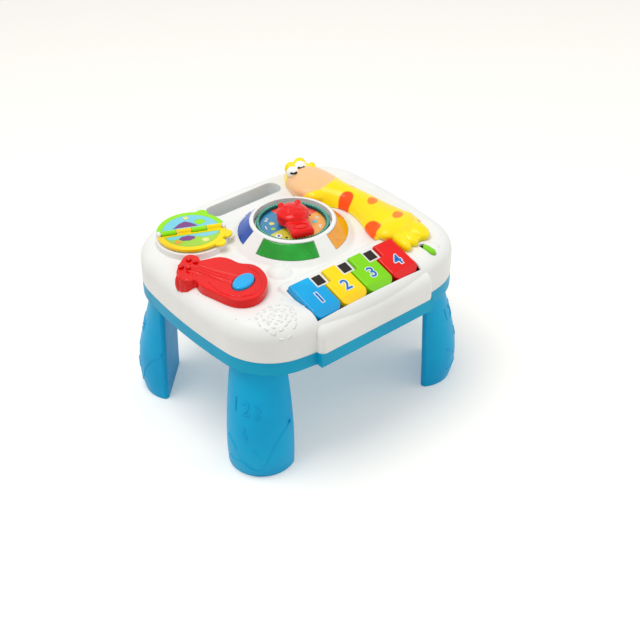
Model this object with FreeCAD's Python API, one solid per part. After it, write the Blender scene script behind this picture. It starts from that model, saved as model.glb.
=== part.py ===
import FreeCAD, Part
import os
from math import atan2, cos, hypot, pi, radians, sin, sqrt, tan

# Musical activity table for small children, in millimetres.
# Origin: on the floor under the middle of the table. +X runs along the keyboard from the left leg
# to the right leg, +Y runs from the keyboard to the carry handle, and +Z is up.

# Table body in plan: an oval of eight tangent arcs
body_half_length = 120.4
body_half_depth = 105.0
body_centre_y = 1.25
corner_radius = 50.0
corner_inset_x = 52.9
corner_inset_y = 55.2

# Heights of the body
rim_bottom_z = 105.0
seam_z = 117.5
deck_z = 150.0
crown_radius = 14.0
wall = 2.2

# Legs: a half round post with a flat panel on its inner side
leg_x = 93.6
leg_y = 66.2
leg_foot_half_width = 28.0
leg_foot_depth = 26.0
leg_belly_height = 45.0
leg_belly_depth = 28.5
leg_waist_height = 80.0
leg_waist_half_width = 25.5
leg_waist_depth = 21.0
leg_top_half_width = 23.0
leg_top_depth = 15.0
leg_edge_radius = 4.0
leg_wall = 2.4
leg_back_lean = 2.0
tenon_half_width = 10.0
tenon_depth = 9.0
tenon_height = 9.0
tenon_inset = 2.5

# Carry handle slot through the back of the body
slot_left = -36.0
slot_right = 42.0
slot_front = 71.0
slot_back = 89.0
slot_corner = 8.0

# Keyboard block, which slopes down to the front edge
piano_half_width = 61.0
piano_front_y = -106.25
piano_rear_y = -46.0
piano_top_y = -50.0
piano_top_z = 153.2
piano_front_z = 140.0
piano_front_radius = 12.0
piano_side_radius = 5.0

# Keys
key_count = 4
key_pitch = 27.8
key_row_x = -2.4
key_gap = 1.2
key_length = 39.0
key_rear_y = -58.0
key_rise = 6.0
key_skirt = 6.0
key_corner = 6.0
key_edge = 1.6
key_bevel_length = 6.0
key_bevel_drop = 3.4
key_travel_deg = 4.0
key_play = 1.0
key_side_play = 0.5
hinge_behind = 4.0
hinge_below = 6.0
rod_radius = 1.0
running_fit = 0.05
key_tail_width = 12.0
key_tail_thickness = 3.0
plunger_radius = 2.0
plunger_from_rear = 25.0
plunger_length = 4.6
bridge_half_width = 6.5
bridge_length = 12.5
bridge_rise = 3.0
inlay_width = 8.5
inlay_length = 9.5
inlay_depth = 1.0
rod_bracket_thickness = 2.4
rib_reach = 2.5

# Dial console with its four light windows
console_y = 6.0
console_foot_radius = 53.0
console_lip_radius = 36.0
console_lip_z = 166.8
lip_round = 1.1
foot_round = 5.0
stand_round = 1.2
well_radius = 33.5
well_floor_z = 161.0
lens_count = 4
lens_low_z = 155.2
lens_high_z = 165.2
lens_half_angle = 34.0
lens_thickness = 2.0
lens_clearance = 0.25
ring_clearance = 2.1
ring_width = 3.1
ring_outer_radius = well_radius - ring_clearance
ring_inner_radius = ring_outer_radius - ring_width
ring_height = 3.0
ring_teeth = 60
tooth_depth = 1.2
card_clearance = 0.3
card_radius = ring_inner_radius - card_clearance
card_thickness = 0.6
dome_radius = 15.0
dome_spread = 11.0
dome_angle = 220.0
dome_beyond = 4.0

# Dial knob
knob_radius = 14.0
knob_height = 14.0
knob_clearance = 0.5
pointer_length = 30.0
pointer_width = 21.0
pointer_height = 7.5
pointer_angle = -110.5
ear_radius = 3.2
axle_radius = 4.0
axle_bottom_z = 148.0
clip_radius = 7.0
clip_thickness = 1.2

# Round picture book with two leaves on one pin
book_x = -71.0
book_y = 55.0
book_radius = 29.5
book_axis_deg = -24.3
book_axis_z = 160.0
stand_radius = 31.0
stand_rise = 5.8
leaf_thickness = 2.6
leaf_face_gap = 0.3
leaf_frame = 5.0
pin_radius = 1.0
knuckle_radius = 2.5
knuckle_count = 4
knuckle_gap = 0.4
hinge_half_length = 26.0
ear_thickness = 3.0
print_thickness = 0.8
tab_radius = 5.5
tab_thickness = 2.0

# Guitar with its oval button
guitar_top_z = 158.0
guitar_bottom_z = 138.0
button_x = -81.5
button_y = -32.5
button_half_length = 11.8
button_half_width = 7.4
button_deg = 22.0
button_top_z = 160.2
button_travel = 2.0
button_clearance = 0.4
button_stem_radius = 2.0
switch_block_height = 4.0
switch_drop = 14.0

# Giraffe lying along the right side
giraffe_bottom_z = 138.0
eye_radius = 5.0

# Power slide switch
power_from_side = 46.4
power_from_front = 22.0
power_x = body_half_length - power_from_side
power_y = power_from_front - body_half_depth
power_length = 13.0
power_width = 5.2
power_travel = 4.0
power_rise = 1.6
power_clearance = 0.3
power_drop = 3.8
power_post_reach = 6.5
power_post_radius = 1.6
power_body_depth = 5.5

# Inside: battery box, boards, speaker, screws
cell_radius = 7.1
cell_length = 50.0
cell_count = 2
cell_gap = 0.6
battery_x = 31.0
battery_y = -10.0
contact_length = 3.0
battery_wall = 2.0
door_lap = 3.0
door_clearance = 0.3
board_thickness = 1.6
board_z = 128.0
board_margin = 7.0
post_radius = 3.0
chip_radius = 6.0
chip_height = 1.5
speaker_x = -45.0
speaker_y = -25.0
speaker_radius = 20.0
speaker_flange = 3.0
speaker_depth = 12.0
grille_hole_radius = 1.2
grille_rings = 2
grille_pitch = 5.5
screw_radius = 1.5
screw_head_radius = 2.8
screw_head_height = 2.0
screw_length = 24.0
boss_radius = 4.5
counterbore_depth = 6.0
light_board_z = 143.0
light_board_radius = 44.0
light_board_hole = 20.0
led_radius = 2.5
led_height = 6.0
led_ring_radius = 40.0

os.makedirs("parts", exist_ok=True)
V = FreeCAD.Vector
UP = V(0, 0, 1)


def save(name, shape):
    """Writes one sub-part and reports its size."""
    clean = shape.removeSplitter()
    clean.exportStep("parts/" + name + ".step")
    print(name, clean.isValid(), len(clean.Solids), round(clean.Volume, 1))


def box(x0, x1, y0, y1, z0, z1):
    return Part.makeBox(x1 - x0, y1 - y0, z1 - z0, V(x0, y0, z0))


def cylinder(x, y, z0, z1, radius):
    return Part.makeCylinder(radius, z1 - z0, V(x, y, z0))


def union(shapes):
    """Joins a list of overlapping solids into one."""
    return shapes[0].multiFuse(shapes[1:])


def turned(shape, angle, x=0.0, y=0.0):
    """A copy turned about the vertical through (x, y)."""
    copy = shape.copy()
    copy.rotate(V(x, y, 0), UP, angle)
    return copy


def moved(shape, x=0.0, y=0.0, z=0.0):
    """A moved copy."""
    copy = shape.copy()
    copy.translate(V(x, y, z))
    return copy


def prism(edges, height):
    """A solid over a closed flat outline."""
    return Part.Face(Part.Wire(edges)).extrude(height)


def polygon(points):
    """A closed wire through the points."""
    return Part.makePolygon(points + [points[0]])


def revolved(profile, x, y, start=0.0, angle=360.0):
    """Turns a profile of (radius, z) points about the vertical through (x, y)."""
    wire = polygon([V(r, 0, z) for r, z in profile])
    solid = Part.Face(wire).revolve(V(0, 0, 0), UP, angle)
    solid.rotate(V(0, 0, 0), UP, start)
    solid.translate(V(x, y, 0))
    return solid


def rounded(half_x, half_y, radius, z0, z1):
    """A rounded rectangular block about the Z axis."""
    block = box(-half_x, half_x, -half_y, half_y, z0, z1)
    upright = [e for e in block.Edges if abs(e.tangentAt(e.FirstParameter).z) > 0.9]
    return block.makeFillet(radius, upright)


def pill(half_length, half_width, z0, z1):
    """An elliptical block about the Z axis, long along X."""
    ellipse = Part.Ellipse(V(0, 0, z0), half_length, half_width).toShape()
    return prism([ellipse], V(0, 0, z1 - z0))


def edges_at(shape, z):
    """The edges that lie flat at one height."""
    found = []
    for edge in shape.Edges:
        bounds = edge.BoundBox
        if abs(bounds.ZMin - z) < 0.01 and abs(bounds.ZMax - z) < 0.01:
            found.append(edge)
    return found


def oval_edges(inset, z):
    """Eight tangent arcs: four side arcs of large radius and four corners."""
    cx = body_half_length - corner_inset_x
    cy = body_half_depth - corner_inset_y
    r = corner_radius
    d = corner_inset_y
    e = corner_inset_x
    front_radius = (cx * cx + d * d - r * r) / (2 * (d - r))
    side_radius = (cy * cy + e * e - r * r) / (2 * (e - r))
    front_centre = body_half_depth - front_radius
    side_centre = body_half_length - side_radius
    joint_a = hypot(cx, cy - front_centre)
    joint_b = hypot(cx - side_centre, cy)
    ux, uy = cx / joint_a, (cy - front_centre) / joint_a
    wx, wy = (cx - side_centre) / joint_b, cy / joint_b
    mx, my = ux + wx, uy + wy
    length = hypot(mx, my)
    r_in = r - inset
    start = (cx + ux * r_in, cy + uy * r_in)
    middle = (cx + mx / length * r_in, cy + my / length * r_in)
    end = (cx + wx * r_in, cy + wy * r_in)
    edges = []
    for sx, sy in ((1, 1), (1, -1), (-1, -1), (-1, 1)):
        corner = [V(sx * p[0], sy * p[1] + body_centre_y, z) for p in (start, middle, end)]
        if sx * sy < 0:
            corner.reverse()
        edges.append(Part.Arc(*corner).toShape())
        last = corner[2]
        if sx * sy > 0:
            via = V(sx * (body_half_length - inset), body_centre_y, z)
            to = V(last.x, 2 * body_centre_y - last.y, z)
        else:
            via = V(0, sy * (body_half_depth - inset) + body_centre_y, z)
            to = V(-last.x, last.y, z)
        edges.append(Part.Arc(last, via, to).toShape())
    return edges


def oval(inset, z0, z1):
    return prism(oval_edges(inset, z0), V(0, 0, z1 - z0))


def slot_block(grow, z0, z1):
    """The handle slot, grown by a wall where asked."""
    half_x = (slot_right - slot_left) / 2 + grow
    half_y = (slot_back - slot_front) / 2 + grow
    block = rounded(half_x, half_y, slot_corner + grow, z0, z1)
    return moved(block, (slot_left + slot_right) / 2, (slot_front + slot_back) / 2)


# Sloped keyboard frame: a local block frame whose top is the key deck
slope = atan2(piano_top_z - piano_front_z, key_rear_y - piano_front_y)
key_deck_z = piano_top_z
key_half_span = key_count * key_pitch / 2
tail_floor = -hinge_below - key_tail_thickness / 2
tail_roof = -hinge_below + key_tail_thickness / 2


def on_slope(shape):
    """Moves a solid from the local keyboard frame to its place on the sloped deck."""
    placed = shape.copy()
    placed.rotate(V(0, 0, 0), V(1, 0, 0), slope * 180 / pi)
    placed.translate(V(key_row_x, key_rear_y, key_deck_z))
    return placed


def key_x(index):
    return (index + 0.5) * key_pitch - key_half_span


def bridge_x(index):
    return (index + 1) * key_pitch - key_half_span


def piano_block(inset, bottom_z):
    """The keyboard housing, or its inside when inset by the wall."""
    lift = inset / cos(slope)
    front = piano_front_y + inset
    front_z = piano_front_z + inset * tan(slope) - lift
    bend_y = key_rear_y + inset * tan(slope / 2)
    half = piano_half_width - inset
    points = [(front, bottom_z), (front, front_z), (bend_y, piano_top_z - inset)]
    points += [(piano_top_y - inset, piano_top_z - inset), (piano_rear_y - inset, deck_z - inset)]
    points.append((piano_rear_y - inset, bottom_z))
    face = Part.Face(polygon([V(-half, y, z) for y, z in points]))
    block = face.extrude(V(2 * half, 0, 0))
    nose = []
    for edge in block.Edges:
        bounds = edge.BoundBox
        if bounds.XLength > half and abs(bounds.YMin - front) < 0.01 and bounds.ZMin > bottom_z + 1:
            nose.append(edge)
    block = block.makeFillet(piano_front_radius - inset, nose)
    if inset > 0:
        return block
    sides = []
    for edge in block.Edges:
        bounds = edge.BoundBox
        outer = abs(abs(bounds.XMin) - half) < 0.01 and bounds.XLength < 0.01
        if outer and bounds.ZMin > bottom_z + 1 or outer and abs(bounds.YMax - front) < 0.01:
            sides.append(edge)
    return block.makeFillet(piano_side_radius, sides)


def opening_block(clearance):
    """The opening in the key deck, with its bridges between the keys left standing."""
    half = key_half_span - key_gap / 2 + clearance
    block = box(-half, half, -key_length - key_play, 0, -wall * 4, key_rise)
    for index in range(key_count - 1):
        x = bridge_x(index)
        bridge = box(x - bridge_half_width, x + bridge_half_width, -bridge_length, 1, -wall * 5, key_rise + 1)
        block = block.cut(bridge)
    return block


def key(index):
    """One key: cap and skirt, a tail with the hinge bore, and the contact plunger."""
    x = key_x(index)
    half = (key_pitch - key_gap) / 2
    front = -key_length
    rear = -key_side_play
    cap = box(-half, half, front, rear, -key_skirt, key_rise)
    corners = []
    for edge in cap.Edges:
        if edge.BoundBox.ZLength > 1 and abs(edge.BoundBox.YMin - front) < 0.01:
            corners.append(edge)
    cap = cap.makeFillet(key_corner, corners)
    notch = bridge_half_width + key_side_play - key_gap / 2
    depth = -bridge_length - key_play
    if index > 0:
        cap = cap.cut(box(-half - 1, -half + notch, depth, 1, -key_skirt - 1, key_rise + 1))
    if index < key_count - 1:
        cap = cap.cut(box(half - notch, half + 1, depth, 1, -key_skirt - 1, key_rise + 1))
    bevel = [V(-half, front, key_rise - key_bevel_drop), V(-half, front, key_rise + 1)]
    bevel += [V(-half, front + key_bevel_length, key_rise + 1), V(-half, front + key_bevel_length, key_rise)]
    cap = cap.makeFillet(key_edge, edges_at(cap, key_rise))
    cap = cap.cut(Part.Face(polygon(bevel)).extrude(V(2 * half, 0, 0)))
    core = box(-half + wall, half - wall, front + 2 * wall, depth - wall, -key_skirt - 1, key_rise - wall)
    cap = cap.cut(core)
    tail_half = key_tail_width / 2
    tail_end = hinge_behind + key_tail_thickness / 2
    tail = box(-tail_half, tail_half, depth + wall, tail_end, tail_floor, tail_roof)
    base = -key_skirt
    pin_y = -plunger_from_rear
    plunger = cylinder(0, pin_y, base - plunger_length, key_rise - wall + 0.5, plunger_radius)
    solid = union([cap, tail, plunger])
    bore = Part.makeCylinder(rod_radius + running_fit, 4 * tail_half, V(-2 * tail_half, hinge_behind, -hinge_below), V(1, 0, 0))
    return on_slope(moved(solid.cut(bore), x))


def cone_r(z):
    """Radius of the console flank at a height."""
    share = (z - deck_z) / (console_lip_z - deck_z)
    return console_foot_radius + share * (console_lip_radius - console_foot_radius)


flank_angle = atan2(console_lip_z - deck_z, console_foot_radius - console_lip_radius)
flank_wall = wall / sin(flank_angle)


def lens_profile(thickness, grow):
    """The section of a light window on the console flank."""
    low = lens_low_z - grow
    high = lens_high_z + grow
    inner = thickness / sin(flank_angle)
    top = [(cone_r(low), low), (cone_r(high), high)]
    return top + [(cone_r(high) - inner, high), (cone_r(low) - inner, low)]


def lens(index, thickness, grow):
    """One light window, or its opening when grown."""
    middle = 45 + index * 360 / lens_count
    extra = grow / lens_middle_radius * 180 / pi
    span = 2 * (lens_half_angle + extra)
    return revolved(lens_profile(thickness, grow), 0, console_y, middle - span / 2, span)


lens_middle_radius = cone_r((lens_low_z + lens_high_z) / 2)


def well_liner():
    """The wall of the dial's well behind the light windows."""
    liner = cylinder(0, console_y, well_floor_z, lens_high_z, well_radius + wall)
    liner = liner.cut(cylinder(0, console_y, well_floor_z - 1, lens_high_z + 1, well_radius))
    for index in range(lens_count):
        liner = liner.cut(lens(index, lens_thickness + lens_clearance, lens_clearance))
    return liner


def stand():
    """The raised round seat of the picture book."""
    block = cylinder(book_x, book_y, deck_z - wall, deck_z + stand_rise, stand_radius)
    return block.makeFillet(stand_round, edges_at(block, deck_z + stand_rise))


def along_pin(shape):
    """Moves a solid from the hinge frame, where the pin lies on +X, to the book."""
    placed = shape.copy()
    placed.rotate(V(0, 0, 0), UP, book_axis_deg)
    placed.translate(V(book_x, book_y, book_axis_z))
    return placed


def pin_ears():
    """Two brackets on the book stand that hold the hinge pin."""
    low = deck_z + stand_rise - book_axis_z - 1
    ears = []
    for side in (-1, 1):
        x0 = min(side * (hinge_half_length + knuckle_gap), side * (hinge_half_length + knuckle_gap + ear_thickness))
        block = box(x0, x0 + ear_thickness, -knuckle_radius, knuckle_radius, low, 0)
        round_top = Part.makeCylinder(knuckle_radius, ear_thickness, V(x0, 0, 0), V(1, 0, 0))
        ears.append(block.fuse(round_top))
    return along_pin(union(ears))


def pin_rod(radius, half_length):
    return along_pin(Part.makeCylinder(radius, 2 * half_length, V(-half_length, 0, 0), V(1, 0, 0)))


def console_outer():
    """The outside of the console: a cone with a rounded lip."""
    foot = deck_z - wall
    reach = foot_round * tan(flank_angle / 2)
    flat = V(cone_r(deck_z) + reach, 0, deck_z)
    rise = V(cone_r(deck_z) - reach * cos(flank_angle), 0, deck_z + reach * sin(flank_angle))
    lean = flank_angle / 2
    middle = V(flat.x - foot_round * sin(lean), 0, deck_z + foot_round * (1 - cos(lean)))
    lip = V(console_lip_radius, 0, console_lip_z)
    edges = [Part.makeLine(V(0, 0, foot), V(flat.x, 0, foot)), Part.makeLine(V(flat.x, 0, foot), flat)]
    edges += [Part.Arc(flat, middle, rise).toShape(), Part.makeLine(rise, lip)]
    edges += [Part.makeLine(lip, V(0, 0, console_lip_z)), Part.makeLine(V(0, 0, console_lip_z), V(0, 0, foot))]
    solid = Part.Face(Part.Wire(edges)).revolve(V(0, 0, 0), UP, 360)
    solid = solid.makeFillet(lip_round, edges_at(solid, console_lip_z))
    return moved(solid, 0, console_y)


def console_inner():
    """The hollow under the console flank and the well floor."""
    low = deck_z - 2 * wall
    top = console_lip_z - wall
    under = well_floor_z - wall
    inner_r = well_radius + wall
    roof_r = max(cone_r(top) - flank_wall, inner_r + 0.2)
    profile = [(0, low), (cone_r(low) - flank_wall - 1, low), (cone_r(deck_z - wall) - flank_wall - 1, deck_z - wall)]
    profile += [(roof_r, top), (inner_r, top), (inner_r, under), (0, under)]
    return revolved(profile, 0, console_y)


def light_dome():
    """A shallow round bump at the foot of the console."""
    angle = radians(dome_angle)
    reach = console_foot_radius + dome_beyond
    centre = V(reach * cos(angle), console_y + reach * sin(angle), deck_z)
    height = dome_radius - sqrt(dome_radius ** 2 - dome_spread ** 2)
    ball = Part.makeSphere(dome_radius, centre + V(0, 0, height - dome_radius))
    return ball.common(cylinder(centre.x, centre.y, deck_z - 1, deck_z + height + 1, dome_spread))


def outer_form():
    """The whole outside of the white shell, with nothing cut away."""
    body = oval(0, seam_z, deck_z)
    body = body.makeFillet(crown_radius, edges_at(body, deck_z))
    return union([body, piano_block(0, seam_z), console_outer(), stand(), light_dome()])


power_body_top = deck_z - wall - power_drop
boss_places = [(104.0, 4.0), (-104.0, 4.0), (66.0, 82.0), (-66.0, 82.0), (71.0, -60.0), (-71.0, -60.0)]
light_post_reach = 27.0
light_post_places = [(light_post_reach * cos(a), console_y + light_post_reach * sin(a)) for a in (0, pi / 2, pi, 3 * pi / 2)]


def top_shell(outside):
    """The white upper shell with all its openings, bosses and brackets."""
    core = oval(wall, seam_z - 1, deck_z - wall)
    core = core.makeFillet(crown_radius - wall, edges_at(core, deck_z - wall))
    core = core.fuse(piano_block(wall, seam_z - 1))
    core = core.fuse(console_inner())
    core = core.cut(slot_block(wall, seam_z - 2, deck_z + 1))
    shell = outside.cut(core)
    posts = []
    for x, y in boss_places:
        posts.append(cylinder(x, y, seam_z, deck_z - wall / 2, boss_radius))
    for x, y in light_post_places:
        posts.append(cylinder(x, y, light_board_z + board_thickness, well_floor_z - wall / 2, post_radius))
    for side in (-1, 1):
        x = power_x + side * power_post_reach
        posts.append(cylinder(x, power_y, power_body_top, deck_z - wall / 2, power_post_radius))
    shell = union([shell, pin_ears()] + posts)
    shell = shell.cut(slot_block(0, seam_z - 1, deck_z + 1))
    shell = shell.cut(cylinder(0, console_y, well_floor_z, console_lip_z + 1, well_radius))
    shell = shell.cut(cylinder(0, console_y, well_floor_z - 2 * wall, well_floor_z + 1, axle_radius + running_fit))
    for index in range(lens_count):
        shell = shell.cut(lens(index, 3 * wall, lens_clearance))
    shell = shell.fuse(well_liner())
    shell = shell.cut(on_slope(opening_block(key_side_play)))
    ribs = []
    for index in range(key_count + 1):
        half = rod_bracket_thickness / 2
        edge = piano_half_width - half
        x = max(-edge, min(edge, index * key_pitch - key_half_span))
        rib_back = hinge_behind + rib_reach
        ribs.append(box(x - half, x + half, hinge_behind - rib_reach, rib_back, tail_floor - 1, -wall - 0.2))
    bridges = []
    for index in range(key_count - 1):
        x = bridge_x(index)
        plate = box(x - bridge_half_width, x + bridge_half_width, -bridge_length, 0.5, -wall, bridge_rise)
        pocket_y = -(bridge_length + inlay_length) / 2
        half = inlay_width / 2
        pocket = box(x - half, x + half, pocket_y, pocket_y + inlay_length, bridge_rise - inlay_depth, bridge_rise + 1)
        bridges.append(plate.cut(pocket))
    shell = union([shell] + [on_slope(part) for part in ribs + bridges])
    shell = shell.cut(on_slope(hinge_rod(0.02)))
    for x, y in boss_places:
        shell = shell.cut(cylinder(x, y, seam_z - 1, seam_z + screw_length, screw_radius + 0.02))
    shell = shell.cut(button_bore())
    shell = shell.cut(power_slot())
    return shell.cut(pin_rod(pin_radius + 0.02, hinge_half_length + knuckle_gap + ear_thickness))




def hinge_rod(extra):
    """The steel rod that all the keys turn on, in the local keyboard frame."""
    half = piano_half_width - 0.5
    return Part.makeCylinder(rod_radius + extra, 2 * half, V(-half, hinge_behind, -hinge_below), V(1, 0, 0))


def inlays():
    """Black inlays on the bridges between the keys."""
    parts = []
    for index in range(key_count - 1):
        x = bridge_x(index)
        y = -(bridge_length + inlay_length) / 2
        half = inlay_width / 2
        parts.append(box(x - half, x + half, y, y + inlay_length, bridge_rise - inlay_depth, bridge_rise + 0.2))
    return on_slope(Part.makeCompound(parts))


def at_button(shape):
    return moved(turned(shape, button_deg), button_x, button_y)


def button_bore():
    radius = button_stem_radius + running_fit
    return cylinder(button_x, button_y, deck_z - 3 * wall, deck_z + 1, radius)


def power_slot():
    """The slot that the switch cap slides in."""
    half = power_width / 2 + power_clearance
    reach = (power_length + power_travel) / 2 + power_clearance
    slot = rounded(half, reach, half - 0.05, deck_z - 2 * wall, deck_z + 1)
    return moved(slot, power_x, power_y)


def power_cap():
    """A pill that slides towards the back to switch on."""
    half = power_width / 2
    pill_part = rounded(half, power_length / 2, half - 0.05, deck_z - wall, deck_z + power_rise)
    top = edges_at(pill_part, deck_z + power_rise)
    pill_part = pill_part.makeFillet(1.0, top)
    stem = box(-1.2, 1.2, -1.5, 1.5, power_body_top - 2, deck_z - wall + 0.5)
    return moved(pill_part.fuse(stem), power_x, power_y - power_travel / 2)


def power_body():
    """The slide switch under the cap, held up by two posts of the shell."""
    reach = power_post_reach + power_post_radius
    half = power_travel / 2 + 3
    block = box(-reach, reach, -half, half, power_body_top - power_body_depth, power_body_top)
    block = block.cut(box(-1.6, 1.6, -half + 0.8, half - 0.8, power_body_top - 3, power_body_top + 1))
    return moved(block, power_x, power_y)


def leg_section(z, half_width, depth, lean):
    """A half round section at one height: flat panel, two rounded edges and the outer arc."""
    r = leg_edge_radius
    k = r * (1 - sqrt(0.5))
    inner = V(-lean, half_width - r, z)
    edge = V(-lean + r, half_width, z)
    mirror = [V(p.x, -p.y, z) for p in (inner, edge)]
    corner = V(-lean + k, half_width - k, z)
    other = V(corner.x, -corner.y, z)
    panel = Part.makeLine(mirror[0], inner)
    first = Part.Arc(inner, corner, edge).toShape()
    bow = Part.Arc(edge, V(depth - lean, 0, z), mirror[1]).toShape()
    second = Part.Arc(mirror[1], other, mirror[0]).toShape()
    return Part.Wire([panel, first, bow, second])


def leg_form(inset, low, high):
    """The leg as one loft through sections at named heights, its panel facing -X."""
    rows = [(0.0, leg_foot_half_width, leg_foot_depth, 0.0)]
    rows.append((leg_belly_height, leg_foot_half_width, leg_belly_depth, leg_back_lean / 2))
    rows.append((leg_waist_height, leg_waist_half_width, leg_waist_depth, leg_back_lean))
    rows.append((rim_bottom_z, leg_top_half_width, leg_top_depth, leg_back_lean))
    wires = []
    for z, half_width, depth, lean in rows:
        section = leg_section(z, half_width - inset, depth - 2 * inset, lean)
        section.translate(V(inset, 0, 0))
        wires.append(section)
    form = Part.makeLoft(wires, True, False)
    if inset > 0:
        form = form.common(box(-100, 100, -100, 100, low, high))
    return form


def leg():
    """One hollow leg with its tenon, the inner panel facing -X, standing at the origin."""
    tenon = box(tenon_inset, tenon_inset + tenon_depth, -tenon_half_width, tenon_half_width, rim_bottom_z - 0.5, rim_bottom_z + tenon_height)
    solid = leg_form(0, 0, 0).fuse(tenon)
    hollow = leg_form(leg_wall, leg_wall, rim_bottom_z - leg_wall)
    return solid.cut(hollow)


leg_places = {}
leg_places["leg_front_right"] = (leg_x, body_centre_y - leg_y, -45)
leg_places["leg_back_right"] = (leg_x, body_centre_y + leg_y, 45)
leg_places["leg_back_left"] = (-leg_x, body_centre_y + leg_y, 135)
leg_places["leg_front_left"] = (-leg_x, body_centre_y - leg_y, -135)


def at_leg(shape, place):
    x, y, angle = place
    return moved(turned(shape, angle), x, y)


cell_span = cell_count * 2 * cell_radius + (cell_count - 1) * cell_gap
bay_half_x = cell_length / 2 + contact_length
bay_half_y = cell_span / 2 + 0.5
bay_top_z = rim_bottom_z + wall + 2 * cell_radius + 0.6


def at_battery(shape):
    return moved(shape, battery_x, battery_y)


def bay_hollow(grow, z0, z1):
    half_x = bay_half_x + grow
    half_y = bay_half_y + grow
    return at_battery(box(-half_x, half_x, -half_y, half_y, z0, z1))


board_half_x = bay_half_x + board_margin
board_half_y = bay_half_y + board_margin
board_corners = [(sx * (board_half_x - post_radius), sy * (board_half_y - post_radius)) for sx in (-1, 1) for sy in (-1, 1)]
board_posts = [(battery_x + x, battery_y + y) for x, y in board_corners]
key_board_half_x = key_half_span - 2.0
key_board_half_y = 7.0
floor_z = rim_bottom_z + wall


def base_shell():
    """The blue lower shell: rim, floor, leg sockets, battery bay, slot wall and posts."""
    lip = box(-piano_half_width, piano_half_width, piano_front_y, body_centre_y, rim_bottom_z, seam_z)
    outside = oval(0, rim_bottom_z, seam_z).fuse(lip)
    core = oval(wall, floor_z, seam_z + 1)
    inner = piano_half_width - wall
    core = core.fuse(box(-inner, inner, piano_front_y + wall, body_centre_y, floor_z, seam_z + 1))
    core = core.cut(slot_block(wall, rim_bottom_z - 1, seam_z + 2))
    parts = [outside.cut(core)]
    for x, y in boss_places:
        parts.append(cylinder(x, y, rim_bottom_z, seam_z, boss_radius + 0.5))
    for x, y in board_posts:
        parts.append(cylinder(x, y, rim_bottom_z, board_z, post_radius))
    for x, y in key_posts:
        parts.append(cylinder(x, y, rim_bottom_z, board_z, post_radius))
    parts.append(cylinder(button_x, button_y, rim_bottom_z, switch_block_z, post_radius + 2))
    parts.append(bay_hollow(battery_wall, rim_bottom_z, bay_top_z + battery_wall))
    ring = cylinder(speaker_x, speaker_y, rim_bottom_z, floor_z + speaker_flange, speaker_radius + wall)
    parts.append(ring.cut(cylinder(speaker_x, speaker_y, floor_z, seam_z, speaker_radius + 0.1)))
    for place in leg_places.values():
        half = tenon_half_width + wall
        socket = box(tenon_inset - wall, tenon_inset + tenon_depth + wall, -half, half, rim_bottom_z, rim_bottom_z + tenon_height)
        parts.append(at_leg(socket, place))
    shell = union(parts)
    shell = shell.cut(slot_block(0, rim_bottom_z - 1, seam_z + 1))
    for place in leg_places.values():
        tenon = box(tenon_inset, tenon_inset + tenon_depth, -tenon_half_width, tenon_half_width, rim_bottom_z - 1, rim_bottom_z + tenon_height + 1)
        shell = shell.cut(at_leg(tenon, place))
    for x, y in boss_places:
        shell = shell.cut(cylinder(x, y, rim_bottom_z - 1, rim_bottom_z + counterbore_depth, screw_head_radius + 0.4))
        shell = shell.cut(cylinder(x, y, rim_bottom_z - 1, seam_z + 1, screw_radius + 0.02))
    shell = shell.cut(bay_hollow(0, rim_bottom_z - 1, bay_top_z))
    shell = shell.cut(bay_hollow(door_lap, rim_bottom_z - 1, floor_z))
    for x, y in grille_holes():
        shell = shell.cut(cylinder(x, y, rim_bottom_z - 1, floor_z + 0.5, grille_hole_radius))
    screw_x = battery_x + bay_half_x + battery_wall / 2
    return shell.cut(cylinder(screw_x, battery_y, rim_bottom_z, floor_z + 8, screw_radius * 0.5 + 0.02))


def grille_holes():
    """Rings of sound holes round a middle one."""
    places = [(speaker_x, speaker_y)]
    for ring in range(1, grille_rings + 1):
        for step in range(6 * ring):
            angle = 2 * pi * step / (6 * ring)
            reach = ring * grille_pitch
            places.append((speaker_x + reach * cos(angle), speaker_y + reach * sin(angle)))
    return places


def battery_door():
    """The door that closes the bay from below, with a countersunk screw hole."""
    lap = door_lap - door_clearance
    door = bay_hollow(lap, rim_bottom_z, floor_z)
    screw_x = battery_x + bay_half_x + battery_wall / 2
    door = door.cut(cylinder(screw_x, battery_y, rim_bottom_z - 1, floor_z + 1, screw_radius * 0.5 + 0.1))
    return door.cut(cylinder(screw_x, battery_y, rim_bottom_z - 1, rim_bottom_z + 1.1, screw_radius + 0.2))


def door_screw():
    screw_x = battery_x + bay_half_x + battery_wall / 2
    head = cylinder(screw_x, battery_y, rim_bottom_z + 0.1, rim_bottom_z + 1.1, screw_radius)
    return head.fuse(cylinder(screw_x, battery_y, rim_bottom_z + 1, floor_z + 7, screw_radius * 0.5))


def battery_cells():
    cells = []
    for index in range(cell_count):
        y = battery_y - cell_span / 2 + cell_radius + index * (2 * cell_radius + cell_gap)
        z = floor_z + cell_radius + 0.2
        start = V(battery_x - cell_length / 2, y, z)
        cells.append(Part.makeCylinder(cell_radius, cell_length, start, V(1, 0, 0)))
    return Part.makeCompound(cells)


def battery_contacts():
    """Metal plates at both ends of the bay, each with a raised contact for each cell."""
    plates = []
    thickness = 0.5
    for side in (-1, 1):
        plate_x = side * bay_half_x
        x0 = min(plate_x, plate_x - side * thickness)
        plate = box(x0, x0 + thickness, -bay_half_y + 1, bay_half_y - 1, floor_z + 1, bay_top_z - 1)
        for index in range(cell_count):
            y = -cell_span / 2 + cell_radius + index * (2 * cell_radius + cell_gap)
            reach = contact_length - thickness
            start = side * (bay_half_x - thickness)
            bump = Part.makeCone(4, 2, reach, V(start, y, floor_z + cell_radius + 0.2), V(-side, 0, 0))
            plate = plate.fuse(bump)
        plates.append(at_battery(plate))
    return Part.makeCompound(plates)


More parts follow.
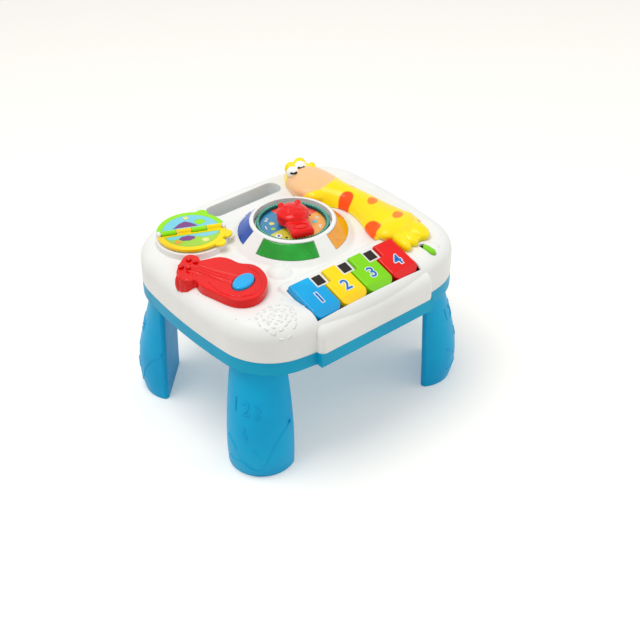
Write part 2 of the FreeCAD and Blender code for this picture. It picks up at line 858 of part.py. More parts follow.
def case_screws():
    screws = []
    for x, y in boss_places:
        head_z = rim_bottom_z + counterbore_depth - screw_head_height
        head = cylinder(x, y, head_z, head_z + screw_head_height, screw_head_radius)
        shaft = cylinder(x, y, head_z + 0.5, seam_z + screw_length - 4, screw_radius)
        screws.append(head.fuse(shaft))
    return Part.makeCompound(screws)


def circuit_board():
    x, y = board_half_x, board_half_y
    return at_battery(box(-x, x, -y, y, board_z, board_z + board_thickness))


def sound_chip():
    z = board_z + board_thickness
    return cylinder(battery_x, battery_y, z, z + chip_height, chip_radius)


def speaker():
    """Flange, cone basket and magnet, facing the grille."""
    flange = cylinder(speaker_x, speaker_y, floor_z, floor_z + speaker_flange, speaker_radius)
    z = floor_z + speaker_flange
    basket = Part.makeCone(speaker_radius - 2, speaker_radius * 0.55, speaker_depth / 2, V(speaker_x, speaker_y, z - 0.2))
    magnet = cylinder(speaker_x, speaker_y, z, z + speaker_depth - speaker_flange, speaker_radius * 0.5)
    return union([flange, basket, magnet])


def key_board():
    x, y = key_board_half_x, key_board_half_y
    return moved(box(-x, x, -y, y, board_z, board_z + board_thickness), key_row_x, key_board_y)


def key_pads():
    """A rubber strip with one contact dome under each plunger."""
    z = board_z + board_thickness
    strip = box(-key_board_half_x, key_board_half_x, -5, 5, z, z + 1)
    domes = [cylinder(key_x(index), 0, z + 0.5, pad_top_z, 3.5) for index in range(key_count)]
    return moved(union([strip] + domes), key_row_x, key_board_y)


plunger_tip = on_slope(Part.Vertex(V(0, -plunger_from_rear, -key_skirt - plunger_length))).Point
plunger_dip = (plunger_from_rear + hinge_behind) * sin(radians(key_travel_deg))
pad_top_z = plunger_tip.z - plunger_dip - 1.2
key_board_y = plunger_tip.y
key_posts = [(key_row_x + side * (key_board_half_x - post_radius), key_board_y) for side in (-1, 1)]


def light_board():
    z = light_board_z
    ring = cylinder(0, console_y, z, z + board_thickness, light_board_radius)
    return ring.cut(cylinder(0, console_y, z - 1, z + board_thickness + 1, light_board_hole))


def leds():
    lamps = []
    for index in range(lens_count):
        angle = radians(45 + index * 360 / lens_count)
        x = led_ring_radius * cos(angle)
        y = console_y + led_ring_radius * sin(angle)
        z = light_board_z + board_thickness
        lamps.append(cylinder(x, y, z, z + led_height, led_radius))
    return Part.makeCompound(lamps)


switch_block_z = deck_z - wall - switch_drop


def button_switch():
    z = switch_block_z
    return moved(box(-3, 3, -3, 3, z, z + switch_block_height), button_x, button_y)


def guitar_button():
    """An oval cap with a stem through the shell to its switch."""
    low = deck_z + button_travel + 0.4
    cap = pill(button_half_length, button_half_width, low, button_top_z)
    cap = cap.makeFillet(1.5, edges_at(cap, button_top_z))
    tip = switch_block_z + switch_block_height + button_travel + 0.4
    stem = cylinder(0, 0, tip, low + 0.5, button_stem_radius)
    return at_button(cap.fuse(stem))


guitar_head_points = [(-113, -3), (-118, 6), (-109, 20), (-101, 26), (-93, 29), (-88, 23), (-91, 14), (-102, 2)]
guitar_neck_start = (-82, -30)
guitar_neck_end = (-103, 13)
guitar_neck_width = 9.0
guitar_neck_rise = 2.2
guitar_outline = [(-105, 2), (-110, -16), (-107.5, -28), (-104.5, -40), (-99, -50), (-87, -55.5), (-73.5, -51)]
guitar_outline += [(-64.5, -42), (-59, -28), (-61, -15), (-67, -8), (-69, 0), (-75, 10), (-85, 14), (-92, 16)]


def closed_curve(points, z):
    """A smooth closed curve through the points."""
    curve = Part.BSplineCurve()
    curve.interpolate(Points=[V(x, y, z) for x, y in points], PeriodicFlag=True)
    return curve.toShape()


def guitar(outside):
    """The red guitar, seated on the crown of the shell, with an oval hole for its button."""
    height = V(0, 0, guitar_top_z - guitar_bottom_z)
    body = prism([closed_curve(guitar_outline, guitar_bottom_z)], height)
    head = prism([closed_curve(guitar_head_points, guitar_bottom_z)], height)
    solid = body.fuse(head)
    neck_start = V(*guitar_neck_start, guitar_top_z - 1)
    neck_end = V(*guitar_neck_end, guitar_top_z - 1)
    direction = neck_end - neck_start
    neck = Part.makeBox(direction.Length, guitar_neck_width, guitar_neck_rise, V(0, -guitar_neck_width / 2, 0))
    neck.rotate(V(0, 0, 0), UP, atan2(direction.y, direction.x) * 180 / pi)
    neck.translate(neck_start)
    solid = solid.fuse(neck)
    hole = pill(button_half_length + button_clearance, button_half_width + button_clearance, 0, button_top_z + 5)
    solid = solid.cut(at_button(hole))
    return solid.cut(outside)


giraffe_rows = [(88, 54, 72, 155), (78, 48, 79, 163), (64, 42, 83, 167), (46, 39, 85, 168), (32, 42, 85, 167)]
giraffe_rows += [(18, 54, 86, 165), (2, 59, 87, 165), (-22, 54, 90, 166), (-40, 48, 96, 165), (-54, 52, 95, 160)]
giraffe_rows += [(-72, 60, 85, 155)]
giraffe_eyes = ((58, 77, 162), (68, 80, 162))


def giraffe(outside):
    """The giraffe: a loft of arched sections from the head at the back to the feet."""
    sections = []
    for y, left, right, top in giraffe_rows:
        z = giraffe_bottom_z
        base = Part.makeLine(V(right, y, z), V(left, y, z))
        shoulder = deck_z + (top - deck_z) * 0.25
        rise = Part.makeLine(V(left, y, z), V(left, y, shoulder))
        arch = Part.Arc(V(left, y, shoulder), V((left + right) / 2, y, top), V(right, y, shoulder)).toShape()
        fall = Part.makeLine(V(right, y, shoulder), V(right, y, z))
        sections.append(Part.Wire([base, rise, arch, fall]))
    body = Part.makeLoft(sections, True, False)
    for x, y, z in giraffe_eyes:
        body = body.fuse(Part.makeSphere(eye_radius, V(x, y, z)))
    return body.cut(outside)


def knob():
    """A round animal head with ears, and a pointer pad for the fingers."""
    low = knob_low_z
    head = cylinder(0, 0, low, low + knob_height - 5, knob_radius)
    crown = Part.makeSphere(knob_radius, V(0, 0, low + knob_height - knob_radius))
    crown = crown.common(cylinder(0, 0, low + 1, low + 2 * knob_height, knob_radius))
    pad = rounded(pointer_length / 2, pointer_width / 2, pointer_width / 3, low, low + pointer_height)
    pad = moved(pad, pointer_length / 2)
    parts = [head, crown, pad]
    for side in (-1, 1):
        centre = V(-knob_radius * 0.55, side * knob_radius * 0.7, low + knob_height - ear_radius)
        parts.append(Part.makeSphere(ear_radius, centre))
    solid = turned(union(parts), pointer_angle)
    return moved(solid, 0, console_y)


knob_low_z = well_floor_z + ring_height + knob_clearance


def axle():
    """The shaft fixed to the knob, turning in the floor of the well."""
    low = moved(cylinder(0, 0, axle_bottom_z, knob_low_z, axle_radius), 0, console_y)
    return low


def clip():
    """The retaining disc under the well floor."""
    top = well_floor_z - wall - knob_clearance
    disc = cylinder(0, console_y, top - clip_thickness, top, clip_radius)
    return disc.cut(axle())


def ratchet_ring():
    """A toothed ring round the picture card."""
    z = well_floor_z
    ring = cylinder(0, 0, z, z + ring_height, ring_outer_radius)
    ring = ring.cut(cylinder(0, 0, z - 1, z + ring_height + 1, ring_inner_radius))
    tooth = 2 * pi * ring_outer_radius / ring_teeth / 2
    cutters = []
    for index in range(ring_teeth):
        reach = ring_outer_radius - tooth_depth
        cutter = box(reach, ring_outer_radius + 1, -tooth / 2, tooth / 2, z + 1, z + ring_height + 1)
        cutters.append(turned(cutter, index * 360 / ring_teeth))
    return moved(ring.cut(Part.makeCompound(cutters)), 0, console_y)


def dial_card():
    z = well_floor_z
    card = cylinder(0, console_y, z, z + card_thickness, card_radius)
    return card.cut(cylinder(0, console_y, z - 1, z + 2, axle_radius + 0.5))


def leaf_slots(side):
    """Stretches of the pin that belong to one leaf, and those of the other leaf."""
    length = 2 * hinge_half_length / knuckle_count
    mine, other = [], []
    for index in range(knuckle_count):
        x0 = -hinge_half_length + index * length
        stretch = (x0 + knuckle_gap / 2, x0 + length - knuckle_gap / 2)
        if (index % 2 == 0) == (side > 0):
            mine.append(stretch)
        else:
            other.append(stretch)
    return mine, other


def leaf(side, tabs):
    """One half round leaf in the hinge frame: frame, knuckles and finger tabs."""
    z0 = -leaf_face_gap - leaf_thickness
    z1 = -leaf_face_gap
    disc = cylinder(0, 0, z0, z1, book_radius)
    for angle in tabs:
        x = book_radius * cos(radians(angle))
        y = book_radius * sin(radians(angle))
        disc = disc.fuse(cylinder(x, y, z0, z0 + tab_thickness, tab_radius))
    clear = knuckle_radius + knuckle_gap
    reach = 2 * book_radius
    keep = box(-reach, reach, min(side * clear, side * reach), max(side * clear, side * reach), z0 - 1, z1 + 1)
    plate = disc.common(keep)
    pocket = cylinder(0, 0, z1 - print_thickness, z1 + 1, book_radius - leaf_frame)
    plate = plate.cut(pocket.common(pocket_side(side)))
    mine, other = leaf_slots(side)
    for x0, x1 in mine:
        barrel = Part.makeCylinder(knuckle_radius, x1 - x0, V(x0, 0, 0), V(1, 0, 0))
        arm = box(x0, x1, min(0, side * (clear + 1)), max(0, side * (clear + 1)), z0, z1)
        plate = plate.fuse(barrel).fuse(arm)
    bore = Part.makeCylinder(pin_radius + running_fit, 2 * reach, V(-reach, 0, 0), V(1, 0, 0))
    return plate.cut(bore)


def pocket_side(side):
    """The side of the pin where a leaf's picture lies."""
    near = knuckle_radius + knuckle_gap + 2
    reach = 2 * book_radius
    return box(-reach, reach, min(side * near, side * reach), max(side * near, side * reach), -leaf_thickness - 5, 5)


def leaf_print(side):
    z1 = -leaf_face_gap
    disc = cylinder(0, 0, z1 - print_thickness, z1, book_radius - leaf_frame)
    return along_pin(disc.common(pocket_side(side)))


def book_base_print():
    """The picture disc on the stand under the leaves."""
    z = deck_z + stand_rise
    disc = cylinder(book_x, book_y, z, z + print_thickness, book_radius - leaf_frame)
    return disc.cut(pin_ears())


green_tab_angles = (62,)
yellow_tab_angles = (-20, -48)

outside = outer_form()
save("top_shell", top_shell(outside))
save("base_shell", base_shell())
for name, place in leg_places.items():
    save(name, at_leg(leg(), place))
save("ratchet_ring", ratchet_ring())
save("dial_card", dial_card())
save("dial_knob", knob().cut(axle()))
save("knob_axle", axle())
save("knob_clip", clip())
for index, name in enumerate(("lens_red", "lens_blue", "lens_green", "lens_orange")):
    save(name, lens(index, lens_thickness, 0))
for index, name in enumerate(("key_blue", "key_yellow", "key_green", "key_red")):
    save(name, key(index))
save("key_hinge_rod", on_slope(hinge_rod(0)))
save("black_key_inlays", inlays())
save("key_board", key_board())
save("key_contact_pads", key_pads())
save("guitar_body", guitar(outside))
save("guitar_button", guitar_button())
save("guitar_switch", button_switch())
save("page_green", along_pin(leaf(1, green_tab_angles)))
save("page_yellow", along_pin(leaf(-1, yellow_tab_angles)))
save("page_green_print", leaf_print(1))
save("page_yellow_print", leaf_print(-1))
save("book_hinge_pin", pin_rod(pin_radius, hinge_half_length + knuckle_gap + ear_thickness))
save("book_base_print", book_base_print())
save("giraffe_body", giraffe(outside))
save("power_switch_cap", power_cap())
save("power_switch_body", power_body())
save("battery_door", battery_door())
save("door_screw", door_screw())
save("battery_cells", battery_cells())
save("battery_contacts", battery_contacts())
save("circuit_board", circuit_board())
save("sound_chip", sound_chip())
save("speaker", speaker())
save("light_board", light_board())
save("light_leds", leds())
save("case_screws", case_screws())
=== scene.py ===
"""Looks of the musical activity table: finishes, moulded relief, figures and small prints.

Everything is in metres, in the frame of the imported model. Sizes are written in millimetres and
turned to metres by mm().
"""
import logging
import math
from dataclasses import dataclass, field
from enum import Enum
from typing import Callable, Dict, Iterable, List, Optional, Sequence, Tuple

import bpy
from mathutils import Euler, Matrix, Vector


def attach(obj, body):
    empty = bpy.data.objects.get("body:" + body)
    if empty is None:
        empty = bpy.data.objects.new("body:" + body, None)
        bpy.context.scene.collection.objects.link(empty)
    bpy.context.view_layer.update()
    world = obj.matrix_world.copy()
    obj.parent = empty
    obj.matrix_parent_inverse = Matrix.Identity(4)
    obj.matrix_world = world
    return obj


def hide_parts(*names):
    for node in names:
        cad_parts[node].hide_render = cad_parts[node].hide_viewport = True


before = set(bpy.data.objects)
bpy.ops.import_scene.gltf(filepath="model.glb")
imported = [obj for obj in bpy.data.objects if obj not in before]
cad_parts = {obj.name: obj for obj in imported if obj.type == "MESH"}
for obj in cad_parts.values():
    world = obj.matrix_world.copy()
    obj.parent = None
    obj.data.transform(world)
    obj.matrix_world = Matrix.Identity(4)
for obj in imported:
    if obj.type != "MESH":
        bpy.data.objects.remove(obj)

LOG = logging.getLogger("activity_table")
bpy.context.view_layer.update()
Point = Tuple[float, float, float]
Colour = Tuple[float, float, float, float]
Plan = Tuple[float, float]
Form = Tuple[Point, Point, Point]
Obj = bpy.types.Object
Tree = bpy.types.NodeTree
Socket = bpy.types.NodeSocket
TABLE = "table"
# Height of the deck, used where a ray finds no surface, and the height that rays fall from.
DECK_MM = 150.0
RAY_TOP_MM = 230.0
# Height of a figure as a share of the font's size.
FIGURE_SHARE = 0.7
# First angle, last angle and number of the points of a closed bead and of a flat disc.
LOOP = (0, 345, 24)
DISC = (0, 350, 28)


def mm(value: float) -> float:
    """Millimetres to metres."""
    return value * 0.001


def vec(x: float, y: float, z: float) -> Vector:
    """A place given in millimetres."""
    return Vector((mm(x), mm(y), mm(z)))


def srgb(code: str) -> Colour:
    """Turns a hex colour to linear light.

    Args:
        code: Six hex digits, as "0098CC".

    Returns:
        Linear red, green, blue and an alpha of 1.
    """
    parts = [int(code[i:i + 2], 16) / 255 for i in (0, 2, 4)]
    linear = [c / 12.92 if c <= 0.04045 else ((c + 0.055) / 1.055) ** 2.4 for c in parts]
    return (linear[0], linear[1], linear[2], 1.0)


def add(tree: Tree, kind: str, inputs: Optional[dict] = None, **settings) -> bpy.types.Node:
    """Adds a node, sets its properties and fills or links its inputs.

    Args:
        tree: The node tree of a material or world.
        kind: Blender's name for the node.
        inputs: Socket name or number to a value, or to an output socket to link.
        **settings: Properties of the node.

    Returns:
        The new node.
    """
    made = tree.nodes.new(kind)
    for name, value in settings.items():
        setattr(made, name, value)
    for key, value in (inputs or {}).items():
        socket = made.inputs[key]
        if isinstance(value, Socket):
            tree.links.new(value, socket)
        else:
            socket.default_value = value
    return made


def new_material(name: str) -> Tuple[bpy.types.Material, Tree]:
    """An empty node material.

    Returns:
        The material and its tree, with no nodes.
    """
    material = bpy.data.materials.new(name)
    material.use_nodes = True
    material.node_tree.nodes.clear()
    return material, material.node_tree


def object_coords(tree: Tree) -> Socket:
    """The place on the object in metres."""
    return add(tree, "ShaderNodeTexCoord").outputs["Object"]


def noise(tree: Tree, coords: Socket, size: float, detail: float) -> Socket:
    """Noise with features of a size in millimetres."""
    return add(tree, "ShaderNodeTexNoise", {
        "Vector": coords, "Scale": 1 / mm(size), "Detail": detail}).outputs[0]


def blend(tree: Tree, factor: Socket, first: str, second: str) -> Socket:
    """Goes from one colour to another with a factor."""
    mix = add(tree, "ShaderNodeMix", {"Factor": factor}, data_type="RGBA")
    mix.inputs[6].default_value = srgb(first)
    mix.inputs[7].default_value = srgb(second)
    return mix.outputs[2]


def surface(tree: Tree, inputs: dict) -> None:
    """Ends a material with a principled surface of these inputs."""
    principled = add(tree, "ShaderNodeBsdfPrincipled", inputs)
    add(tree, "ShaderNodeOutputMaterial", {"Surface": principled.outputs[0]})


@dataclass(frozen=True)
class MouldedPlastic:
    """Injection moulded ABS or PP: even colour, faint flow marks and a fine spark-eroded grain."""

    # To the eye the pigment drifts over some 40 mm with the wall's thickness, the gloss varies in
    # patches of about 9 mm where the melt met the mould, and a grain under 1 mm softens highlights.
    DRIFT_MM, GLOSS_MM = 40, 9
    MORE_GLOSS, LESS_GLOSS = 0.05, 0.07
    GRAIN_STRENGTH, IOR, COAT_ROUGHNESS = 0.6, 1.53, 0.08

    name: str
    colour: str
    shade: str
    roughness: float = 0.3
    grain_mm: float = 0.7
    grain_depth_mm: float = 0.010
    coat: float = 0.0
    shine: float = 0.2
    edge_mm: float = 0.7

    def base(self, tree: Tree, coords: Socket) -> Socket:
        """Colour with slow variation over about 40 mm, as pigment gives in thick and thin walls."""
        slow = noise(tree, coords, self.DRIFT_MM, 2.0)
        ramp = add(tree, "ShaderNodeMapRange", {"Value": slow, "From Min": 0.35, "From Max": 0.7})
        return blend(tree, ramp.outputs[0], self.colour, self.shade)

    def shader(self, tree: Tree, colour: Socket, coords: Socket) -> None:
        """Adds the gloss, grain and output for a colour."""
        grain = noise(tree, coords, self.grain_mm, 3.0)
        edge = add(tree, "ShaderNodeBevel", {"Radius": mm(self.edge_mm)}, samples=4)
        bump = add(tree, "ShaderNodeBump", {
            "Height": grain, "Distance": mm(self.grain_depth_mm),
            "Normal": edge.outputs[0], "Strength": self.GRAIN_STRENGTH})
        rough = add(tree, "ShaderNodeMapRange", {
            "Value": noise(tree, coords, self.GLOSS_MM, 4.0),
            "To Min": self.roughness - self.MORE_GLOSS, "To Max": self.roughness + self.LESS_GLOSS})
        surface(tree, {
            "Base Color": colour, "Roughness": rough.outputs[0], "Normal": bump.outputs[0],
            "IOR": self.IOR, "Specular IOR Level": self.shine,
            "Coat Weight": self.coat, "Coat Roughness": self.COAT_ROUGHNESS})

    def material(self) -> bpy.types.Material:
        """Builds the material."""
        made, tree = new_material(self.name)
        coords = object_coords(tree)
        self.shader(tree, self.base(tree, coords), coords)
        return made


@dataclass(frozen=True)
class Patch:
    """One painted or printed patch seen from above: an ellipse in millimetres."""

    x: float
    y: float
    half_x: float
    half_y: float
    colour: str
    turn_deg: float = 0.0
    soft: float = 0.05
    # Half height of a patch in metres: more than any piece, as the ellipse is seen from above.
    TALL = 50.0

    def mask(self, tree: Tree, coords: Socket) -> Socket:
        """1 inside the ellipse and 0 outside, with a slightly soft sprayed edge."""
        place = add(tree, "ShaderNodeMapping", {"Vector": coords}, vector_type="TEXTURE")
        place.inputs["Location"].default_value = vec(self.x, self.y, 0)
        place.inputs["Rotation"].default_value = (0, 0, math.radians(self.turn_deg))
        place.inputs["Scale"].default_value = (mm(self.half_x), mm(self.half_y), self.TALL)
        reach = add(tree, "ShaderNodeVectorMath", {0: place.outputs[0]}, operation="LENGTH")
        return add(tree, "ShaderNodeMapRange", {
            "Value": reach.outputs["Value"],
            "From Min": 1 + self.soft, "From Max": 1 - self.soft}).outputs[0]


@dataclass(frozen=True)
class PaintedPlastic(MouldedPlastic):
    """Moulded plastic with patches of sprayed or printed colour laid over it in order."""

    patches: Tuple[Patch, ...] = ()

    def material(self) -> bpy.types.Material:
        """Builds the material with its patches."""
        made, tree = new_material(self.name)
        coords = object_coords(tree)
        colour = self.base(tree, coords)
        for patch in self.patches:
            mix = add(tree, "ShaderNodeMix", {"Factor": patch.mask(tree, coords)}, data_type="RGBA")
            tree.links.new(colour, mix.inputs[6])
            mix.inputs[7].default_value = srgb(patch.colour)
            colour = mix.outputs[2]
        self.shader(tree, colour, coords)
        return made


@dataclass(frozen=True)
class TintedWindow:
    """Tinted translucent polystyrene: clear and glossy, darker where it is thick."""

    # To the eye the tint deepens over some 25 mm with the thickness, and sink marks of about
    # 3 mm, a hundredth of a millimetre deep, make the mirror images waver.
    TINT_MM, SINK_MM, SINK_DEPTH_MM = 25, 3, 0.01
    ROUGHNESS, IOR, SHINE = 0.1, 1.55, 0.4

    name: str
    colour: str
    deep: str
    clear: float = 0.15

    def material(self) -> bpy.types.Material:
        """Builds the material."""
        made, tree = new_material(self.name)
        coords = object_coords(tree)
        slow = noise(tree, coords, self.TINT_MM, 1.0)
        span = add(tree, "ShaderNodeMapRange", {"Value": slow, "From Min": 0.35, "From Max": 0.65})
        bump = add(tree, "ShaderNodeBump", {
            "Height": noise(tree, coords, self.SINK_MM, 2.0), "Distance": mm(self.SINK_DEPTH_MM)})
        surface(tree, {
            "Base Color": blend(tree, span.outputs[0], self.colour, self.deep),
            "Roughness": self.ROUGHNESS, "Normal": bump.outputs[0],
            "IOR": self.IOR, "Specular IOR Level": self.SHINE, "Transmission Weight": self.clear})
        return made


@dataclass(frozen=True)
class PlatedMetal:
    """Nickel plated steel: bright, with fine drawn lines."""

    # To the eye, drawing marks 0.4 mm apart break the mirror image into soft streaks.
    MARKS_MM = 0.4

    name: str
    colour: str = "C9CCD0"

    def material(self) -> bpy.types.Material:
        """Builds the material."""
        made, tree = new_material(self.name)
        coords = object_coords(tree)
        rough = add(tree, "ShaderNodeMapRange", {
            "Value": noise(tree, coords, self.MARKS_MM, 4.0), "To Min": 0.18, "To Max": 0.4})
        surface(tree, {
            "Base Color": srgb(self.colour), "Metallic": 1.0, "Roughness": rough.outputs[0]})
        return made


@dataclass(frozen=True)
class SectorPrint:
    """A glossy printed card: four sectors of colour about the dial's centre, with fine mottle."""

    # To the eye the ink's tone varies by a few percent over 1.2 mm, as on coated card.
    MOTTLE_MM = 1.2

    name: str
    centre: Point
    colours: Tuple[str, str, str, str]
    turn_deg: float

    def material(self) -> bpy.types.Material:
        """Builds the material."""
        made, tree = new_material(self.name)
        coords = object_coords(tree)
        place = add(tree, "ShaderNodeMapping", {"Vector": coords}, vector_type="TEXTURE")
        place.inputs["Location"].default_value = self.centre
        place.inputs["Rotation"].default_value = (0, 0, math.radians(self.turn_deg))
        turn = add(tree, "ShaderNodeTexGradient", {"Vector": place.outputs[0]},
                   gradient_type="RADIAL")
        ramp = add(tree, "ShaderNodeValToRGB", {"Fac": turn.outputs["Fac"]})
        ramp.color_ramp.interpolation = "CONSTANT"
        while len(ramp.color_ramp.elements) < len(self.colours):
            ramp.color_ramp.elements.new(0.5)
        for index, code in enumerate(self.colours):
            ramp.color_ramp.elements[index].position = index / len(self.colours)
            ramp.color_ramp.elements[index].color = srgb(code)
        tone = add(tree, "ShaderNodeMapRange", {
            "Value": noise(tree, coords, self.MOTTLE_MM, 3.0), "To Min": 0.93, "To Max": 1.05})
        scaled = add(tree, "ShaderNodeVectorMath", {0: ramp.outputs[0]}, operation="SCALE")
        tree.links.new(tone.outputs[0], scaled.inputs["Scale"])
        surface(tree, {
            "Base Color": scaled.outputs[0], "Roughness": 0.3,
            "Coat Weight": 0.4, "Coat Roughness": 0.1})
        return made


def ink(name: str, colour: str, shade: str) -> MouldedPlastic:
    """Printing ink: flat colour with hardly any grain, a little glossier than what is round it."""
    return MouldedPlastic(name, colour, shade, 0.35, 1.0, 0.002)


class Finish(Enum):
    """The finishes of the table's pieces."""

    # Shells and legs: satin, evenly coloured, with the wide soft edges of thick mouldings.
    WHITE = MouldedPlastic("white_moulded_abs", "F1F1EF", "EBECE9", 0.36, 0.6, 0.005, edge_mm=1.2)
    BLUE = MouldedPlastic("blue_moulded_abs", "00AEE0", "00A2D8", 0.4, 0.7, 0.004, shine=0.16)
    RIM = MouldedPlastic("light_blue_moulded_abs", "00A8D0", "009CC8", 0.4, 0.7, 0.004, shine=0.16)
    # Toys on the deck: polished moulds give small bright highlights on strong colours.
    RED = MouldedPlastic("red_gloss_abs", "EC0A04", "DC0602", 0.16, 0.8, 0.006, 0.12)
    CYAN = MouldedPlastic("cyan_gloss_abs", "00B0F0", "00A2E8", 0.12, 0.8, 0.004, 0.3)
    KEY_BLUE = MouldedPlastic("key_blue_gloss_abs", "00AEEA", "009CDC", 0.18, 0.8, 0.006, 0.12)
    YELLOW = MouldedPlastic("yellow_gloss_abs", "FFE000", "FFCC00", 0.2, 0.8, 0.006, 0.12)
    GREEN = MouldedPlastic("green_gloss_abs", "84DA00", "74CC00", 0.2, 0.8, 0.006, 0.12)
    LEAF_GREEN = MouldedPlastic("leaf_green_abs", "9CEA00", "8CE000", 0.22, 0.8, 0.006, 0.1)
    # Ring and inlays: duller, so that their fine relief reads by shade. The ring's dark teal is
    # painted shade for the gaps between its teeth; the moulding itself is the light teal of the
    # teeth.
    RING = MouldedPlastic("teal_ring_abs_painted_gap_shade", "145C5C", "104E50", 0.35, 0.6, 0.008)
    TEETH = MouldedPlastic("teal_ring_teeth_abs", "6CCDB4", "58BBA4", 0.3, 0.6, 0.006)
    BLACK = MouldedPlastic("black_matt_abs", "2C2420", "1C1614", 0.36, 0.6, 0.012)
    # Inner pieces: milky nylon, mottled fibre board, matt rubber, crinkled foil and fibrous paper.
    NYLON = MouldedPlastic("natural_nylon", "D8D4C8", "CCC8BC", 0.45, 0.8, 0.010)
    BOARD = MouldedPlastic("green_fibre_board", "1E6B3A", "17582F", 0.4, 1.2, 0.015)
    SILICONE = MouldedPlastic("grey_silicone_rubber", "8E9296", "808488", 0.6, 0.9, 0.02)
    CELL = MouldedPlastic("foil_cell_wrap", "3A6A52", "2E5A46", 0.3, 1.5, 0.006)
    CONE = MouldedPlastic("black_paper_cone", "26262A", "1C1C20", 0.7, 0.5, 0.03)
    # Inks: flat colour with hardly any grain, a little glossier than the plastic round them.
    INK_BLUE = MouldedPlastic("blue_pad_print", "1878C8", "146CBA", 0.3, 1.0, 0.002)
    INK_WHITE = MouldedPlastic("white_pad_print", "F6F8FA", "EEF2F6", 0.3, 1.0, 0.002)
    INK_PURPLE = ink("purple_print", "8B4A93", "7C4086")
    INK_SKY = ink("sky_print", "86D4E6", "76CCE0")
    INK_GRASS = ink("grass_print", "A8D84C", "98CC40")
    INK_LIGHT = ink("pale_yellow_print", "ECE890", "E4DE80")
    INK_DARK = ink("dark_print", "26221E", "1A1612")
    INK_ORANGE = ink("orange_print", "F4A93C", "EE9E30")
    # Wet looking paint on the eyeballs, then bright metal.
    EYE = MouldedPlastic("white_eye_paint", "FBFBFA", "F4F4F2", 0.18, 1.0, 0.002, 0.3)
    STEEL = PlatedMetal("nickel_plated_steel")
    # Windows and lamps: light comes back from inside, so the colour glows.
    WINDOW_RED = TintedWindow("red_tinted_styrene", "E0141E", "B00A14")
    WINDOW_BLUE = TintedWindow("blue_tinted_styrene", "0A66DC", "064CB4")
    WINDOW_GREEN = TintedWindow("green_tinted_styrene", "10BE34", "009A14")
    WINDOW_ORANGE = TintedWindow("orange_tinted_styrene", "FFB408", "F59A00")
    LAMP = TintedWindow("clear_epoxy_lamp", "E8ECEC", "D8DCDC")


class Finishes:
    """Makes each material once."""

    def __init__(self) -> None:
        """Starts with no materials."""
        self.made: Dict[str, bpy.types.Material] = {}

    def get(self, finish) -> bpy.types.Material:
        """The material of a finish, from the Enum or a finish object."""
        value = finish.value if isinstance(finish, Enum) else finish
        if value.name not in self.made:
            self.made[value.name] = value.material()
        return self.made[value.name]


FINISHES = Finishes()


